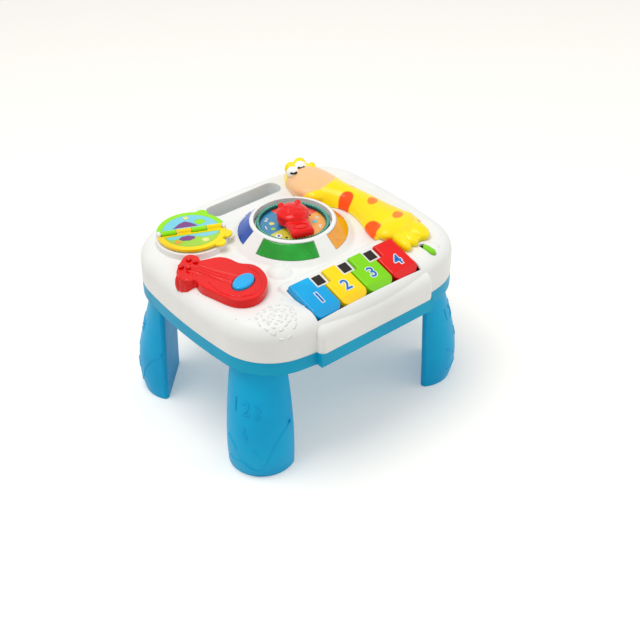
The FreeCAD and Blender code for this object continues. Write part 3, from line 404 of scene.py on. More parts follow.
class Bench:
    """Modelling moves that the pieces share."""

    @staticmethod
    def clear() -> None:
        """Deselects everything."""
        bpy.ops.object.select_all(action="DESELECT")

    @staticmethod
    def pick(obj: Obj) -> None:
        """Makes one object the selected, active one."""
        Bench.clear()
        obj.select_set(True)
        bpy.context.view_layer.objects.active = obj

    @staticmethod
    def settle(obj: Obj) -> Obj:
        """Puts an object's place into its mesh."""
        Bench.pick(obj)
        bpy.ops.object.transform_apply(location=True, rotation=True, scale=True)
        return obj

    @staticmethod
    def modify(obj: Obj, kind: str, **settings) -> Obj:
        """Adds a modifier and applies it."""
        Bench.pick(obj)
        modifier = obj.modifiers.new(kind.lower(), kind)
        for name, value in settings.items():
            setattr(modifier, name, value)
        bpy.ops.object.modifier_apply(modifier=modifier.name)
        return obj

    @staticmethod
    def rounded(obj: Obj, width: float, segments: int = 4) -> Obj:
        """Rounds a form's sharp edges by a width in millimetres."""
        return Bench.modify(obj, "BEVEL", width=mm(width), segments=segments, limit_method="ANGLE")

    @staticmethod
    def edit(obj: Obj, moves: Callable[[], None]) -> Obj:
        """Runs edit-mode moves on the whole mesh."""
        Bench.pick(obj)
        bpy.ops.object.mode_set(mode="EDIT")
        bpy.ops.mesh.select_all(action="SELECT")
        moves()
        bpy.ops.object.mode_set(mode="OBJECT")
        return obj

    @staticmethod
    def outward(obj: Obj) -> Obj:
        """Merges doubles and points all faces outwards."""
        def moves() -> None:
            bpy.ops.mesh.remove_doubles(threshold=1e-7)
            bpy.ops.mesh.normals_make_consistent(inside=False)
        return Bench.edit(obj, moves)

    @staticmethod
    def join(objects: Sequence[Obj], name: str) -> Obj:
        """Joins meshes into the first one and names it."""
        Bench.clear()
        for obj in objects:
            obj.select_set(True)
        bpy.context.view_layer.objects.active = objects[0]
        if len(objects) > 1:
            bpy.ops.object.join()
        objects[0].name = name
        return objects[0]

    @staticmethod
    def ball(centre: Point, radii: Point, turn: Point = (0, 0, 0)) -> Obj:
        """An ellipsoid in millimetres, the start of a sculpted form."""
        Bench.clear()
        bpy.ops.mesh.primitive_uv_sphere_add(segments=40, ring_count=24, radius=1.0)
        obj = bpy.context.active_object
        obj.scale = vec(*radii)
        obj.rotation_euler = Euler([math.radians(a) for a in turn])
        obj.location = vec(*centre)
        return Bench.settle(obj)

    @staticmethod
    def sculpt(parts: Sequence[Obj], name: str, voxel: float, rounds: int) -> Obj:
        """Welds forms into one skin and softens it.

        Args:
            parts: Overlapping closed meshes.
            name: Name of the piece.
            voxel: Grid size in millimetres.
            rounds: Smoothing rounds.

        Returns:
            The welded piece.
        """
        form = Bench.join(list(parts), name)
        Bench.modify(form, "REMESH", mode="VOXEL", voxel_size=mm(voxel))
        Bench.modify(form, "SMOOTH", factor=0.5, iterations=rounds)
        Bench.pick(form)
        bpy.ops.object.shade_smooth()
        return form

    @staticmethod
    def copy_node(node: str, name: str) -> Obj:
        """A merged copy of a CAD node's mesh, as a start for a softened piece."""
        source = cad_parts[node]
        obj = bpy.data.objects.new(name, source.data.copy())
        bpy.context.collection.objects.link(obj)
        obj.data.materials.clear()

        def moves() -> None:
            bpy.ops.mesh.customdata_custom_splitnormals_clear()
            bpy.ops.mesh.remove_doubles(threshold=1e-6)
            bpy.ops.mesh.dissolve_limited(angle_limit=math.radians(0.5))
        return Bench.edit(obj, moves)

    @staticmethod
    def recast(node: str, name: str, voxel: float, rounds: int) -> Obj:
        """A CAD node's form with its edges softened."""
        return Bench.sculpt([Bench.copy_node(node, name)], name, voxel, rounds)

    @staticmethod
    def tube(points: Sequence[Vector], radius: float, name: str, closed: bool = False) -> Obj:
        """A raised line: a round bead along points, as a mesh.

        Args:
            points: Places in metres.
            radius: Radius in millimetres.
            name: Name of the piece.
            closed: Whether the line closes.

        Returns:
            The bead.
        """
        data = bpy.data.curves.new(name, "CURVE")
        data.dimensions = "3D"
        spline = data.splines.new("NURBS")
        spline.points.add(len(points) - 1)
        for target, place in zip(spline.points, points):
            target.co = (*place, 1.0)
        spline.order_u = 3
        spline.use_endpoint_u = not closed
        spline.use_cyclic_u = closed
        spline.resolution_u = 4
        data.bevel_depth = mm(radius)
        data.bevel_resolution = 2
        data.use_fill_caps = True
        obj = bpy.data.objects.new(name, data)
        bpy.context.collection.objects.link(obj)
        Bench.pick(obj)
        bpy.ops.object.convert(target="MESH")
        obj = bpy.context.active_object
        Bench.outward(obj)
        Bench.pick(obj)
        bpy.ops.object.shade_smooth()
        return obj

    @staticmethod
    def numeral(text: str, size: float, height: float, fat: float = 0.0) -> Obj:
        """A plain number as a flat raised mesh in the XY plane, centred on the origin.

        Args:
            text: The digits.
            size: Height of the figures in millimetres.
            height: Thickness in millimetres.
            fat: How far the outline is grown, in millimetres.

        Returns:
            The mesh, with its base at z = 0.
        """
        Bench.clear()
        bpy.ops.object.text_add()
        obj = bpy.context.active_object
        obj.data.body = text
        obj.data.size = mm(size / FIGURE_SHARE)
        obj.data.align_x = "CENTER"
        obj.data.align_y = "CENTER"
        obj.data.offset = mm(fat)
        obj.data.extrude = mm(height / 2)
        obj.data.resolution_u = 6
        bpy.ops.object.convert(target="MESH")
        obj = bpy.context.active_object
        obj.data.transform(Matrix.Translation((0, 0, mm(height / 2))))
        return Bench.outward(obj)

    @staticmethod
    def flat_shape(outline: Sequence[Plan], height: float, name: str) -> Obj:
        """A thin raised plate: a filled ring reshaped to an outline in millimetres and extruded."""
        Bench.clear()
        bpy.ops.mesh.primitive_circle_add(vertices=len(outline), radius=mm(1), fill_type="NGON")
        obj = bpy.context.active_object
        obj.name = name
        for vertex, (x, y) in zip(obj.data.vertices, outline):
            vertex.co = vec(x, y, 0)

        def moves() -> None:
            bpy.ops.mesh.extrude_region_move(TRANSFORM_OT_translate={"value": (0, 0, mm(height))})
            bpy.ops.mesh.select_all(action="SELECT")
            bpy.ops.mesh.normals_make_consistent(inside=False)
        return Bench.edit(obj, moves)


def dress(nodes: Iterable[str], finish) -> None:
    """Gives CAD nodes a finish through their material slots."""
    material = FINISHES.get(finish)
    for node in nodes:
        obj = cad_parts[node]
        for slot in obj.material_slots:
            slot.material = material


def finish_piece(obj: Obj, finish, body: str = TABLE,
                 replaces: str = "") -> Obj:
    """Dresses a finished piece and hands it to the frame.

    Args:
        obj: The piece, in place.
        finish: A finish.
        body: The CAD body that it rides on.
        replaces: A CAD node that it stands for.

    Returns:
        The piece.
    """
    obj.data.materials.clear()
    obj.data.materials.append(FINISHES.get(finish))
    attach(obj, body)
    if replaces:
        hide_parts(replaces)
    LOG.info("%s rides on %s, %d faces", obj.name, body, len(obj.data.polygons))
    return obj


def drop(surface: Obj, x: float, y: float, lift: float = 0.0) -> Vector:
    """The place on a surface straight below (x, y), in millimetres, raised by lift."""
    hit, place, _normal, _face = surface.ray_cast(vec(x, y, RAY_TOP_MM), Vector((0, 0, -1)))
    if not hit:
        return vec(x, y, DECK_MM + lift)
    return place + Vector((0, 0, mm(lift)))


def resampled(path: Sequence[Plan], step: float = 1.2) -> List[Plan]:
    """Adds points along a line in two dimensions, no further apart than step."""
    points = [path[0]]
    for (x0, y0), (x1, y1) in zip(path, path[1:]):
        count = max(1, math.ceil(math.hypot(x1 - x0, y1 - y0) / step))
        points += [(x0 + (x1 - x0) * i / count, y0 + (y1 - y0) * i / count)
                   for i in range(1, count + 1)]
    return points


def arc_points(x: float, y: float, radius: float, start: float, end: float,
               count: int) -> List[Plan]:
    """Points on an arc in plan, angles in degrees."""
    angles = [math.radians(start + (end - start) * i / (count - 1)) for i in range(count)]
    return [(x + radius * math.cos(a), y + radius * math.sin(a)) for a in angles]


@dataclass
class Shells:
    """The white top shell and the blue lower shell, with the relief moulded in the deck."""

    swirl_centre: Plan = (-83.0, -78.0)
    fleck_rows: Tuple[Tuple[float, int], ...] = ((3.5, 5), (7.5, 9), (11.5, 13), (15.5, 15))
    # Degrees of turn per millimetre of radius, waver of a row, share of it that the flecks fill,
    # and the hook at the end of every third fleck.
    twist: float = 23
    waver: float = 1.1
    filled: float = 0.5
    hook: Plan = (1.6, 1.2)
    bead: float = 0.85
    sink: float = -0.1
    power_centre: Plan = (74.0, -83.0)
    power_arc_radius: float = 10.5
    power_arc: Plan = (-20, 110)
    power_bead: float = 1.0
    power_sink: float = -0.35
    dots: Tuple[Plan, ...] = (
        (-112, -12), (-108, -58), (-101, -66), (-58, -80), (-66, -62), (104, -60), (98, -74),
        (100, 20), (104, 44))
    dot_radii: Point = (0.9, 0.9, 0.6)
    dot_sink: float = -0.15

    def build(self) -> None:
        """Lays the moulded lines on the deck."""
        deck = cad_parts["top_shell"]
        lines = []
        x, y = self.swirl_centre
        for radius, count in self.fleck_rows:
            for index in range(count):
                start = 360 * index / count + self.twist * radius
                reach = radius + self.waver * math.sin(5 * index + radius)
                end = start + self.filled * 360 / count
                path = [drop(deck, px, py, self.sink)
                        for px, py in arc_points(x, y, reach, start, end, count=4)]
                if index % 3 == 0:
                    px, py = path[-1].x * 1000, path[-1].y * 1000
                    path.append(drop(deck, px + self.hook[0], py + self.hook[1], self.sink))
                lines.append(Bench.tube(path, self.bead, "fleck"))
        finish_piece(Bench.join(lines, "moulded_flecks"), Finish.WHITE)
        x, y = self.power_centre
        path = [drop(deck, px, py, self.power_sink)
                for px, py in arc_points(x, y, self.power_arc_radius, *self.power_arc, count=14)]
        crescent = Bench.tube(path, self.power_bead, "switch_crescent")
        finish_piece(crescent, Finish.WHITE)
        grains = []
        for px, py in self.dots:
            place = drop(deck, px, py, self.dot_sink)
            centre = (place.x * 1000, place.y * 1000, place.z * 1000)
            grains.append(Bench.ball(centre, self.dot_radii))
        finish_piece(Bench.join(grains, "moulded_dots"), Finish.WHITE)


class Side(Enum):
    """The four legs: node name and which way the outer face looks."""

    FRONT_LEFT = ("leg_front_left", -1, -1)
    FRONT_RIGHT = ("leg_front_right", 1, -1)
    BACK_LEFT = ("leg_back_left", -1, 1)
    BACK_RIGHT = ("leg_back_right", 1, 1)


@dataclass
class Legs:
    """Four plug-in legs with a wavy moulded line, strokes and plain numbers."""

    chord_x: float = 93.6
    chord_y: float = 66.2
    centre_y: float = 1.25
    start: float = 60.0
    miss_reach: float = 8.0
    line: float = 0.75
    line_sink: float = 0.1
    wave: Tuple[Plan, ...] = (
        (28, 51), (21, 39), (17, 29), (14, 19), (9, 10), (4, 8), (-2, 11), (-6.5, 15.5),
        (-10.5, 16.5), (-16.5, 13), (-21.5, 14))
    strokes: Tuple[Tuple[Plan, ...], ...] = (
        ((-6, 52), (-5, 45), (-3.5, 40)), ((-22, 37), (-17, 33), (-13, 27)),
        ((2, 32), (5, 28), (8, 24)), ((-9, 47), (-2.5, 44)))
    numbers: Tuple[Tuple[str, float, float], ...] = (("1", -15, 70), ("2", -5, 69), ("3", 5, 68))
    figure_size: float = 12
    figure_height: float = 1.0
    figure_fat: float = -0.12
    figure_sink: float = 0.3

    def spot(self, side: Side, across: float, height: float) -> Tuple[Vector, Vector]:
        """A place on a leg's outer face.

        Args:
            side: Which leg.
            across: Millimetres to the right of the leg's middle, seen from outside.
            height: Millimetres above the floor.

        Returns:
            The place and the outward direction.
        """
        name, sx, sy = side.value
        middle = Vector((sx * self.chord_x, self.centre_y + sy * self.chord_y, 0))
        out = Vector((sx * self.chord_x, sy * self.chord_y, 0)).normalized()
        along = Vector((0, 0, 1)).cross(out)
        begin = middle + out * self.start + along * across + Vector((0, 0, height))
        hit, place, _normal, _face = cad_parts[name].ray_cast(begin * 0.001, -out)
        return (place if hit else begin * 0.001 - out * mm(self.start - self.miss_reach)), out

    def build(self) -> None:
        """Lays the legs' relief."""
        for side in Side:
            name = side.value[0]
            pieces = []
            for path in (self.wave, *self.strokes):
                spots = [self.spot(side, u, z) for u, z in resampled(path)]
                sunk = [place - out * mm(self.line_sink) for place, out in spots]
                pieces.append(Bench.tube(sunk, self.line, "line"))
            for text, across, height in self.numbers:
                place, out = self.spot(side, across, height)
                figure = Bench.numeral(
                    text, self.figure_size, self.figure_height, self.figure_fat)
                Bench.edit(figure, lambda: bpy.ops.mesh.subdivide(number_cuts=3))
                for vertex in figure.data.vertices:
                    spot, _out = self.spot(
                        side, across + vertex.co.x * 1000, height + vertex.co.y * 1000)
                    vertex.co = spot + out * (vertex.co.z - mm(self.figure_sink))
                pieces.append(figure)
            finish_piece(Bench.join(pieces, name + "_relief"), Finish.BLUE)


@dataclass
class Keyboard:
    """Four sprung keys with plain numbers, and the black inlays between them."""

    slope_deg: float = 15.3
    places: Tuple[Tuple[str, str, Finish, str, float, str], ...] = (
        ("key_blue", "blue_key", Finish.KEY_BLUE, "cyan_abs", -43.5, "1"),
        ("key_yellow", "yellow_key", Finish.YELLOW, "yellow_abs", -15.8, "2"),
        ("key_green", "green_key", Finish.GREEN, "green_abs", 12.0, "3"),
        ("key_red", "red_key", Finish.RED, "red_abs", 40.0, "4"))
    number_y: float = -82.5
    number_size: float = 10.5
    print_height: float = 0.25
    # Start of the name, ink, growth of the outline and lift of the two prints of a number.
    prints: Tuple[Tuple[str, Finish, float, float], ...] = (
        ("number_outline_", Finish.INK_WHITE, 1.0, 0.0), ("number_", Finish.INK_BLUE, 0.25, 0.12))

    def label(self, key: Obj, x: float, text: str, fat: float, lift: float) -> Obj:
        """A number lying on a key's sloping top."""
        figure = Bench.numeral(text, self.number_size, self.print_height, fat)
        place = drop(key, x, self.number_y, lift)
        turn = Matrix.Rotation(math.radians(self.slope_deg), 4, "X")
        figure.data.transform(Matrix.Translation(place) @ turn)
        return figure

    def build(self) -> None:
        """Softens the keys and prints the numbers."""
        for node, body, finish, slot, x, text in self.places:
            key = Bench.recast(node, node + "_cap", voxel=0.4, rounds=7)
            finish_piece(key, finish, body, node)
            for start, ink, fat, lift in self.prints:
                figure = self.label(key, x, text, fat, lift)
                figure.name = start + text
                finish_piece(figure, ink, body)


@dataclass
class Console:
    """The raised ring with four coloured windows, the toothed ring, the card and the knob."""

    centre: Plan = (0.0, 6.0)
    windows: Tuple[Tuple[str, Finish, float], ...] = (
        ("lens_red", Finish.WINDOW_RED, 45), ("lens_blue", Finish.WINDOW_BLUE, 135),
        ("lens_green", Finish.WINDOW_GREEN, 225), ("lens_orange", Finish.WINDOW_ORANGE, 315))
    boss_radius: float = 2.6
    boss_reach: float = 46.0
    boss_half_angle: float = 25.0
    boss_bead: float = 0.35
    boss_sink: float = -0.1
    pointer_deg: float = -110.5
    # The knob is made along +X over this height. Its drum: radius, height, middle and rounding.
    knob_low: float = 164.5
    drum: Tuple[float, float, float, float] = (13.8, 10.4, 5.4, 2.2)
    pad_place: Point = (17.5, 0, 4.0)
    pad_size: Point = (24, 20, 7.2)
    pad_round: float = 2.6
    # Ellipsoids of the head: crown and snout.
    head: Tuple[Form, ...] = (
        ((-1, 0, 9), (12.6, 12.8, 4.8), (0, 0, 0)), ((6.5, 0, 8.4), (8.0, 11.5, 4.6), (0, 8, 0)))
    # Ears, nostrils and brows.
    features: Tuple[Tuple[Point, Point], ...] = (
        ((-9.2, 7.4, 11.2), (2.7, 3.0, 2.6)), ((3.6, 4.6, 12.6), (1.6, 1.8, 1.2)),
        ((-3.4, 4.6, 12.9), (1.9, 2.2, 1.1)))
    # Ring on the finger pad: middle, half length, half width and height.
    grip_ring: Tuple[float, float, float, float] = (21.5, 3.6, 6.6, 7.75)
    # The smile: places across it, then its reach and height in the middle and how both fall off
    # with the square of the place.
    smile: Tuple[float, ...] = (-7, -4.5, -2, 0, 2, 4.5, 7)
    smile_reach: Plan = (9.5, 0.05)
    smile_height: Plan = (12.3, 0.035)
    relief_bead: float = 0.6
    tooth_count: int = 72
    tooth_reach: float = 30.0
    tooth_size: Point = (2.2, 1.5, 0.9)
    tooth_round: float = 0.25
    tooth_lift: float = 0.25
    # The card: text, direction, reach and size of each number; ink, direction, reach and radius
    # of each dot.
    sectors: Tuple[str, str, str, str] = ("DCD84B", "F4A93C", "F0503C", "1E82B4")
    sector_turn: float = 4.0
    marks: Tuple[Tuple[str, float, float, float], ...] = (
        ("1", 158, 23.5, 5.0), ("2", 127, 23.5, 5.0), ("3", 22, 23.5, 4.5), ("4", -14, 23.0, 4.5),
        ("5", -48, 23.5, 4.5))
    mark_height: float = 0.15
    dots: Tuple[Tuple[Finish, float, float, float], ...] = (
        (Finish.INK_LIGHT, 141, 18.0, 2.4), (Finish.INK_GRASS, 168, 18.5, 2.0),
        (Finish.INK_WHITE, -160, 22.5, 3.0), (Finish.INK_DARK, -160, 22.5, 1.2),
        (Finish.INK_DARK, -142, 22.5, 1.1), (Finish.INK_SKY, -30, 19.0, 2.3),
        (Finish.INK_DARK, 3, 19.5, 1.0))
    dot_height: float = 0.1
    dot_step: float = 0.02

    def around(self, reach: float, turn: float) -> Plan:
        """The place in plan at a reach and a direction, in radians, from the dial's middle."""
        return self.centre[0] + reach * math.cos(turn), self.centre[1] + reach * math.sin(turn)

    def bosses(self) -> None:
        """Ring marks where the windows' screw posts show through their ends."""
        for node, finish, middle in self.windows:
            rings = []
            lens = Bench.recast(node, node + "_window", voxel=0.35, rounds=16)
            finish_piece(lens, finish, replaces=node)
            for side in (-1, 1):
                turn = math.radians(middle + side * self.boss_half_angle)
                x, y = self.around(self.boss_reach, turn)
                circle = arc_points(x, y, self.boss_radius, *LOOP)
                path = [drop(lens, px, py, self.boss_sink) for px, py in circle]
                rings.append(Bench.tube(path, self.boss_bead, "ring", True))
            finish_piece(Bench.join(rings, node + "_post_marks"), finish)

    def at_dial(self, obj: Obj) -> Obj:
        """Turns a form made along +X to the pointer's direction and moves it to the dial."""
        turn = Matrix.Rotation(math.radians(self.pointer_deg), 4, "Z")
        obj.data.transform(Matrix.Translation(vec(self.centre[0], self.centre[1], 0)) @ turn)
        return obj

    def knob(self) -> None:
        """The red knob: a round animal head with ears, nostrils and smile, and a finger pad."""
        low = self.knob_low
        radius, height, middle, rounding = self.drum
        Bench.clear()
        bpy.ops.mesh.primitive_cylinder_add(
            vertices=96, radius=mm(radius), depth=mm(height), location=vec(0, 0, low + middle))
        drum = Bench.rounded(Bench.settle(bpy.context.active_object), rounding)
        x, y, z = self.pad_place
        Bench.clear()
        bpy.ops.mesh.primitive_cube_add(size=1, location=vec(x, y, low + z))
        pad = bpy.context.active_object
        pad.scale = vec(*self.pad_size)
        parts = [drum, Bench.rounded(Bench.settle(pad), self.pad_round)]
        for (x, y, z), radii, turn in self.head:
            parts.append(Bench.ball((x, y, low + z), radii, turn))
        for side in (-1, 1):
            for (x, y, z), radii in self.features:
                parts.append(Bench.ball((x, side * y, low + z), radii))
        head = self.at_dial(Bench.sculpt(parts, "knob_head", voxel=0.45, rounds=3))
        finish_piece(head, Finish.RED, "knob", "dial_knob")
        middle, half_length, half_width, level = self.grip_ring
        ring = [vec(a, b, low + level) for a, b in arc_points(0, 0, 1, *LOOP)]
        for place in ring:
            place.x = mm(middle) + place.x * half_length
            place.y = place.y * half_width
        reach, bend = self.smile_reach
        height, fall = self.smile_height
        smile = [vec(reach - bend * b * b, b, low + height - fall * b * b) for b in self.smile]
        details = [Bench.tube(ring, self.relief_bead, "ring", True),
                   Bench.tube(smile, self.relief_bead, "smile")]
        piece = self.at_dial(Bench.join(details, "knob_relief"))
        finish_piece(piece, Finish.RED, "knob")

    def teeth(self) -> None:
        """The fine light teeth round the top of the ring."""
        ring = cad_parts["ratchet_ring"]
        teeth = []
        for index in range(self.tooth_count):
            turn = 2 * math.pi * index / self.tooth_count
            Bench.clear()
            bpy.ops.mesh.primitive_cube_add(size=1)
            tooth = bpy.context.active_object
            if index == 0:
                tooth.scale = vec(*self.tooth_size)
                shape = Bench.rounded(Bench.settle(tooth), self.tooth_round, 2).data.copy()
            else:
                tooth.data = shape.copy()
            place = drop(ring, *self.around(self.tooth_reach, turn), self.tooth_lift)
            tooth.data.transform(Matrix.Translation(place) @ Matrix.Rotation(turn, 4, "Z"))
            teeth.append(tooth)
        finish_piece(Bench.join(teeth, "ring_teeth"), Finish.TEETH)

    def card(self) -> None:
        """The card's four printed sectors with plain numbers and dots."""
        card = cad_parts["dial_card"]
        middle = (mm(self.centre[0]), mm(self.centre[1]), 0)
        dress(["dial_card"], SectorPrint(
            "printed_card_sectors", middle, self.sectors, self.sector_turn))
        figures = []
        for text, turn, reach, size in self.marks:
            place = drop(card, *self.around(reach, math.radians(turn)))
            figure = Bench.numeral(text, size, self.mark_height, self.mark_height)
            upright = Matrix.Rotation(math.radians(turn - 180), 4, "Z")
            figure.data.transform(Matrix.Translation(place) @ upright)
            figures.append(figure)
        finish_piece(Bench.join(figures, "card_numbers"), Finish.INK_WHITE)
        for index, (finish, turn, reach, radius) in enumerate(self.dots):
            place = drop(card, *self.around(reach, math.radians(turn)))
            height = self.dot_height + self.dot_step * index
            circle = arc_points(0, 0, radius, *DISC)
            plate = Bench.flat_shape(circle, height, "card_dot_%d" % index)
            plate.data.transform(Matrix.Translation(place))
            finish_piece(plate, finish)

    def build(self) -> None:
        """Builds the teeth, windows, card prints and knob."""
        self.teeth()
        self.bosses()
        self.card()
        self.knob()


@dataclass
class Book:
    """Two hinged half-round leaves on the stand, with plain printed shapes."""

    centre: Plan = (-71.0, 55.0)
    turn_deg: float = -24.3
    hill: Tuple[Plan, ...] = (
        (-15, 6.2), (-12, 9), (-8, 13), (-3, 15.5), (1, 13), (4, 10), (7, 6.2))
    sky: Tuple[Plan, ...] = (
        (-22, -6.2), (22, -6.2), (21.5, -9), (17, -11), (9, -12), (2, -9.5), (-7, -8.5),
        (-16, -11), (-21, -10))
    lobe_depth: float = 0.16
    lobe_steps: int = 96

    def plate(self, node: str, outline: Sequence[Plan], thick: float, name: str) -> Obj:
        """A printed shape, in the leaf's own directions, laid on a leaf's picture."""
        shape = Bench.flat_shape(outline, thick, name)
        turn = Matrix.Rotation(math.radians(self.turn_deg), 4, "Z")
        middle = sum((Vector((x, y, 0)) for x, y in outline), Vector()) / len(outline)
        spot = turn @ middle + Vector((self.centre[0], self.centre[1], 0))
        level = drop(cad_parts[node], spot.x, spot.y).z
        place = Vector((mm(self.centre[0]), mm(self.centre[1]), level))
        shape.data.transform(Matrix.Translation(place) @ turn)
        return shape

    def lobes(self, x: float, y: float, size: float, count: int, squash: float) -> List[Plan]:
        """A cloud-like outline of round lobes about a centre."""
        points = []
        for step in range(self.lobe_steps):
            turn = 2 * math.pi * step / self.lobe_steps
            reach = size * (1 + self.lobe_depth * abs(math.sin(count * turn / 2)))
            points.append((x + reach * math.cos(turn), y + reach * squash * math.sin(turn)))
        return points

    def build(self) -> None:
        """Softens the leaves and lays the printed shapes."""
        for node, body, finish, slot in (
                ("page_green", "green_leaf", Finish.LEAF_GREEN, "green_abs"),
                ("page_yellow", "yellow_leaf", Finish.YELLOW, "yellow_abs")):
            plate = Bench.recast(node, node + "_leaf", voxel=0.28, rounds=4)
            finish_piece(plate, finish, body, node)
        green = (
            (self.hill, 0.10, "purple_hill_print", Finish.INK_PURPLE),
            (self.lobes(9.5, 12.0, 4.2, 6, 0.9), 0.13, "green_tree_print", Finish.LEAF_GREEN),
            (arc_points(-1, 20.5, 2.4, *DISC), 0.13, "sun_print", Finish.INK_LIGHT))
        yellow = (
            (self.sky, 0.08, "sky_band_print", Finish.INK_SKY),
            (self.lobes(-5.5, -11.0, 6.0, 7, 0.55), 0.14, "purple_cloud_print", Finish.INK_PURPLE),
            (self.lobes(-14, -15, 2.4, 5, 1.0), 0.14, "flower_print", Finish.INK_ORANGE),
            (self.lobes(9, -17, 2.8, 5, 1.0), 0.14, "bloom_print", Finish.INK_LIGHT))
        for leaf, shapes in (("green", green), ("yellow", yellow)):
            for outline, thick, name, finish in shapes:
                plate = self.plate("page_%s_print" % leaf, outline, thick, name)
                finish_piece(plate, finish, leaf + "_leaf")


@dataclass
class Guitar:
    """The red toy guitar with pegs, strings and an oval blue button."""

    pegs: Tuple[Plan, ...] = ((-96.8, 22), (-94.5, 15.7), (-107.6, 17.4), (-104.8, 11))
    # Each peg is two ellipsoids: their height over the head and their radii.
    peg_forms: Tuple[Tuple[float, Point], ...] = ((-0.2, (2.1, 2.1, 1.6)), (1.0, (2.6, 2.6, 1.5)))
    flutes: Tuple[Plan, ...] = ((-116.3, 8.5), (-113.2, 0.5), (-105.0, 1.5))
    flute_z: float = 150.5
    flute_radii: Point = (3.3, 3.3, 8.6)
    edge: Tuple[Plan, ...] = (
        (-102.5, -15), (-104, -28), (-101, -39), (-96, -46.5), (-87, -51), (-75, -47.5),
        (-68, -39.5), (-63.5, -28), (-65, -17))
    edge_bead: float = 0.8
    edge_sink: float = -0.2
    # The remeshed underside of the button is lifted, so that it clears the deck at full press.
    lift_from: float = 157.0
    lift_fade: float = 2.0
    lift: float = 0.4
    strings: Tuple[Tuple[Plan, Plan], ...] = (
        ((-103.5, 8), (-93, -21)), ((-100.5, 9), (-90, -20)), ((-97.5, 10), (-87, -19)))
    string_steps: int = 12
    string_bead: float = 0.5
    string_sink: float = -0.1

    def build(self) -> None:
        """Sculpts the guitar and lays its relief."""
        forms = [Bench.copy_node("guitar_body", "guitar_core")]
        for x, y in self.flutes:
            forms.append(Bench.ball((x, y, self.flute_z), self.flute_radii))
        body = Bench.sculpt(forms, "guitar_form", voxel=0.55, rounds=9)
        finish_piece(body, Finish.RED, replaces="guitar_body")
        button = Bench.recast("guitar_button", "guitar_push", voxel=0.35, rounds=10)
        for vertex in button.data.vertices:
            below = (self.lift_from - vertex.co.z * 1000) / self.lift_fade
            vertex.co.z += mm(self.lift * min(max(below, 0.0), 1.0))
        finish_piece(button, Finish.CYAN, "guitar_push", "guitar_button")
        parts = []
        for x, y in self.pegs:
            top = drop(body, x, y).z * 1000
            parts += [Bench.ball((x, y, top + rise), radii) for rise, radii in self.peg_forms]
        pegs = Bench.sculpt(parts, "guitar_pegs", voxel=0.3, rounds=2)
        finish_piece(pegs, Finish.RED)
        border = [drop(body, x, y, self.edge_sink) for x, y in self.edge]
        lines = [Bench.tube(border, self.edge_bead, "edge")]
        for (x0, y0), (x1, y1) in self.strings:
            path = []
            for i in range(self.string_steps + 1):
                x = x0 + (x1 - x0) * i / self.string_steps
                y = y0 + (y1 - y0) * i / self.string_steps
                path.append(drop(body, x, y, self.string_sink))
            lines.append(Bench.tube(path, self.string_bead, "string"))
        finish_piece(Bench.join(lines, "guitar_relief"), Finish.RED)


